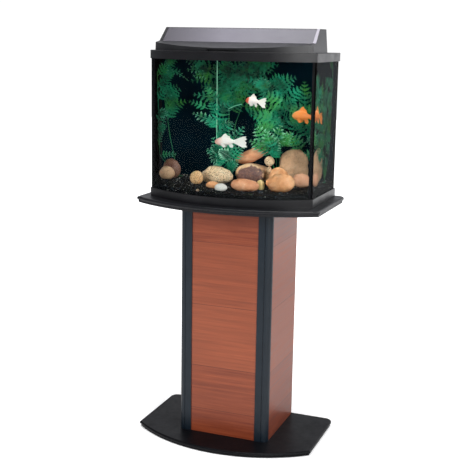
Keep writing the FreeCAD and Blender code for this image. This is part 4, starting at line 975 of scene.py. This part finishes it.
# ------------------------------------------------------------------ water and fish
def make_water():
    """The water fills the tank to just under the hood's ledge. It runs a little into the panes."""
    overlap = 0.0006
    outline = bow_outline(-overlap, 160)
    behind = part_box("background_film")[1].y + 0.0003
    outline[0] = (outline[0][0], behind)
    outline[-1] = (outline[-1][0], behind)
    low = floor_top + 0.0002
    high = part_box("tank_top_frame")[0].z + 0.0045
    points = [Vector((x, y, z)) for z in (low, high) for x, y in outline]
    builder = Builder()
    builder.add(points, rings_to_faces(2, len(outline)))
    water = builder.object("water", clear_liquid("clear_water", (0.996, 0.998, 0.990)), sharp=25)
    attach(water, "tank")


def fish_material(name, body, patch, patch_start, patch_end, scale_size):
    """Goldfish scales: body colour, with a cap or blush that fades between two shares of the body."""
    shader = Shader(name)
    cloud = shader.noise(60.0, 3.0)
    edge = shader.math("ADD", shader.attribute("along"), shader.grey(cloud, -0.05, 0.05))
    colour = shader.mix(shader.grey(edge, 1.0, 0.0, patch_start, patch_end), body, patch)
    shader.bump(shader.cells(1 / scale_size, "Distance"), 0.25, 0.0004)
    return shader.finish(colour, shader.grey(cloud, 0.25, 0.4), Subsurface_Weight=0.1,
                         Subsurface_Scale=0.003)


# A fish's outlines. The body has shares of its length with shares of its height. A fin has shares
# of the length it belongs to, the tail's or the body's, with shares of the body's half height.
body_profile = ((0.0, 0.14), (0.04, 0.40), (0.12, 0.70), (0.26, 0.94), (0.42, 1.0), (0.58, 0.93),
                (0.74, 0.72), (0.88, 0.48), (1.0, 0.34))
tail_fin = ((-0.10, 0.30), (0.35, 0.78), (0.70, 1.14), (1.0, 1.20), (0.92, 0.80), (1.04, 0.50),
            (0.84, 0.12), (1.00, -0.30), (0.90, -0.74), (1.02, -1.40), (0.66, -1.46), (0.30, -0.90),
            (-0.10, -0.30))
back_fin = ((-0.04, -0.10), (0.03, 0.34), (0.14, 0.88), (0.24, 1.06), (0.30, 0.62), (0.42, 0.36),
            (0.46, -0.20))
belly_fin = ((0.0, 0.0), (0.08, -0.66), (0.20, -0.86), (0.26, -0.40), (0.20, 0.12))
side_fin = ((0.0, 0.0), (0.06, -0.66), (0.18, -0.98), (0.30, -0.80), (0.26, -0.34), (0.12, 0.02))
eye_rings = ((-0.06, 0.12), (0.04, 0.12), (0.085, 0.085), (0.10, 0.02))


def make_fish(name, nose, heading, material, length, depth_share, tail_share):
    """A goldfish from rings, with a forked tail, a tall back fin and paired fins."""
    sides = 18
    flatness = 0.62
    fin_thickness = 0.0006
    forward = heading.normalized()
    back = -forward
    side = Vector((0, 0, 1)).cross(forward).normalized()
    up = forward.cross(side)
    body = length * (1 - tail_share)
    tall = body * depth_share / 2
    builder = Builder()
    points = []
    values = []
    for share, swell in body_profile:
        centre = nose - forward * (body * share) + up * (tall * 0.10 * math.sin(math.pi * share))
        for step in range(sides):
            angle = 2 * math.pi * step / sides
            wide = side * (math.cos(angle) * tall * swell * flatness)
            high = up * (math.sin(angle) * tall * swell)
            points.append(centre + wide + high)
            values.append(share)
    builder.add(points, rings_to_faces(len(body_profile), sides), values)

    def on_body(back_share, up_share):
        return nose + back * (body * back_share) + up * (tall * up_share)

    def fin(root, along, outline, reach, value):
        """A thin closed fin that stands on the body along a line from its root."""
        corners = [root + along * (a * reach) + up * (b * tall) + side * offset
                   for offset in (-fin_thickness / 2, fin_thickness / 2) for a, b in outline]
        builder.add(corners, rings_to_faces(2, len(outline)), [value] * len(corners))

    fin(on_body(0.97, 0.0), back, tail_fin, length * tail_share, 0.95)
    fin(on_body(0.33, 0.90), back, back_fin, body, 0.9)
    fin(on_body(0.66, -0.66), back, belly_fin, body, 0.9)
    for hand in (-1, 1):
        outward = (back + side * (hand * 0.5)).normalized()
        fin(on_body(0.30, -0.35) + side * (hand * tall * 0.50), outward, side_fin, body, 0.9)
    piece = builder.object(name, material, sharp=50, attribute="along")
    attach(piece, "tank")
    eyes = Builder()
    for hand in (-1, 1):
        centre = on_body(0.105, 0.16) + side * (hand * tall * 0.265)
        path = [centre + side * (hand * tall * step) for step, radius in eye_rings]
        tube(eyes, path, [tall * radius for step, radius in eye_rings], 12)
    pupil = eyes.object(name + "_eyes", moulded_plastic(name + "_eye", (0.004, 0.004, 0.004),
                                                        (0.01, 0.01, 0.01), 0.15), sharp=40)
    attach(pupil, "tank")


def make_all_fish():
    scales = 90                              # along a fish
    red_cap = fish_material("fish_red_cap", (0.80, 0.74, 0.70), (0.70, 0.10, 0.04), 0.20, 0.30,
                            0.07 / scales)
    white = fish_material("fish_white", (0.78, 0.74, 0.72), (0.72, 0.36, 0.30), 0.10, 0.45,
                          0.08 / scales)
    gold = fish_material("fish_gold", (0.80, 0.24, 0.05), (0.78, 0.30, 0.08), 0.1, 0.5,
                         0.06 / scales)
    make_fish("goldfish_red_cap", layout(20, -142, 276), Vector((-1.0, -0.10, 0.10)), red_cap,
              length=0.056, depth_share=0.62, tail_share=0.36)
    make_fish("goldfish_white", layout(-64, -142, 152), Vector((-1.0, -0.12, -0.06)), white,
              length=0.088, depth_share=0.46, tail_share=0.38)
    make_fish("goldfish_orange", layout(142, -116, 236), Vector((-1.0, -0.15, 0.06)), gold,
              length=0.076, depth_share=0.58, tail_share=0.34)


# ------------------------------------------------------------------ floor, light and camera
def make_floor():
    """A wide pale floor that brightens into the backdrop away from the object."""
    reach = 12.0
    thickness = 0.02
    sides = 48
    rim = [Vector((reach * math.cos(2 * math.pi * k / sides),
                   reach * math.sin(2 * math.pi * k / sides), 0.0)) for k in range(sides)]
    under = [point - Vector((0, 0, thickness)) for point in rim]
    builder = Builder()
    builder.add(under + rim, rings_to_faces(2, sides))
    shader = Shader("floor_pale")
    distance = shader.add("ShaderNodeVectorMath", {0: shader.place}, operation="LENGTH")
    glow = shader.grey(distance.outputs["Value"], 0.30, 1.0, 0.35, 2.2)
    seen = shader.add("ShaderNodeLightPath").outputs["Is Camera Ray"]
    colour = shader.mix(shader.noise(1.2, 2.0), (0.90, 0.90, 0.90), (0.93, 0.93, 0.93))
    material = shader.finish(colour, 0.7, Specular_IOR_Level=0.1, Emission_Color=(1.0, 1.0, 1.0),
                             Emission_Strength=shader.math("MULTIPLY", glow, seen))
    builder.object("floor", material, sharp=30)


def area_light(name, place, target, size, power, mirrored=True):
    data = bpy.data.lights.new(name, "AREA")
    data.shape = "RECTANGLE"
    data.size, data.size_y = size
    data.energy = power
    made = in_scene(name, data)
    made.visible_glossy = mirrored
    made.visible_transmission = False
    made.location = place
    made.rotation_euler = (Vector(target) - Vector(place)).to_track_quat("-Z", "Y").to_euler()


def make_light():
    """A white surround: bright behind the object and dim behind the viewpoint, with soft lamps."""
    world = bpy.data.worlds.new("studio")
    world.use_nodes = True
    sky = Nodes(world.node_tree, "Generated")
    backdrop = sky.tree.nodes["Background"]
    sky.put((1.0, 1.0, 1.0), backdrop.inputs["Color"])
    sky.put(1.05, backdrop.inputs["Strength"])
    soft = sky.add("ShaderNodeBackground", {"Color": (0.95, 0.97, 1.0), "Strength": 0.42})
    towards_back = sky.grey(sky.axis(1), 0.10, 0.75, -0.1, 0.7)
    mirrored = sky.add("ShaderNodeBackground",
                       {"Color": (0.94, 0.95, 1.0), "Strength": towards_back})
    path = sky.add("ShaderNodeLightPath")
    unseen = sky.blend(path.outputs["Is Glossy Ray"], soft, mirrored)
    both = sky.blend(path.outputs["Is Camera Ray"], unseen, backdrop)
    sky.put(both.outputs[0], sky.tree.nodes["World Output"].inputs["Surface"])
    bpy.context.scene.world = world
    middle = (0.0, 0.0, 0.7)
    area_light("key_right", (2.4, -1.9, 1.9), middle, (1.2, 1.6), 80.0)
    area_light("fill_left", (-2.2, -2.4, 1.6), middle, (1.6, 1.8), 66.0, mirrored=False)
    area_light("edge_right", (1.25, 2.6, 0.64), (0.2, 0.0, 0.9), (1.2, 1.2), 7.0)
    area_light("top_soft", (0.1, -0.3, 3.0), (0.0, 0.0, 1.0), (1.6, 1.6), 50.0)


def make_camera():
    """The viewpoint: to the right of the front, a little above the rim, and looking down."""
    turn = math.radians(20.73)
    down = math.radians(11.99)
    roll = math.radians(1.01)
    across = Vector((math.cos(turn), math.sin(turn), 0.0))
    ahead = Vector((-math.sin(turn) * math.cos(down), math.cos(turn) * math.cos(down),
                    -math.sin(down)))
    above = across.cross(ahead)
    right = across * math.cos(roll) + above * math.sin(roll)
    up = above * math.cos(roll) - across * math.sin(roll)
    data = bpy.data.cameras.new("camera")
    data.sensor_width = 36.0
    data.lens = 70.74
    made = in_scene("camera", data)
    place = Vector((0.9862, -2.5981, 1.2180))
    made.matrix_world = Matrix(((right.x, up.x, -ahead.x, place.x),
                                (right.y, up.y, -ahead.y, place.y),
                                (right.z, up.z, -ahead.z, place.z),
                                (0.0, 0.0, 0.0, 1.0)))
    bpy.context.scene.camera = made


dress_cad_nodes()
make_stones()
make_bed()
make_grains()
make_plants()
make_water()
make_all_fish()
make_floor()
make_light()
make_camera()
bpy.context.scene.view_settings.view_transform = "Standard"
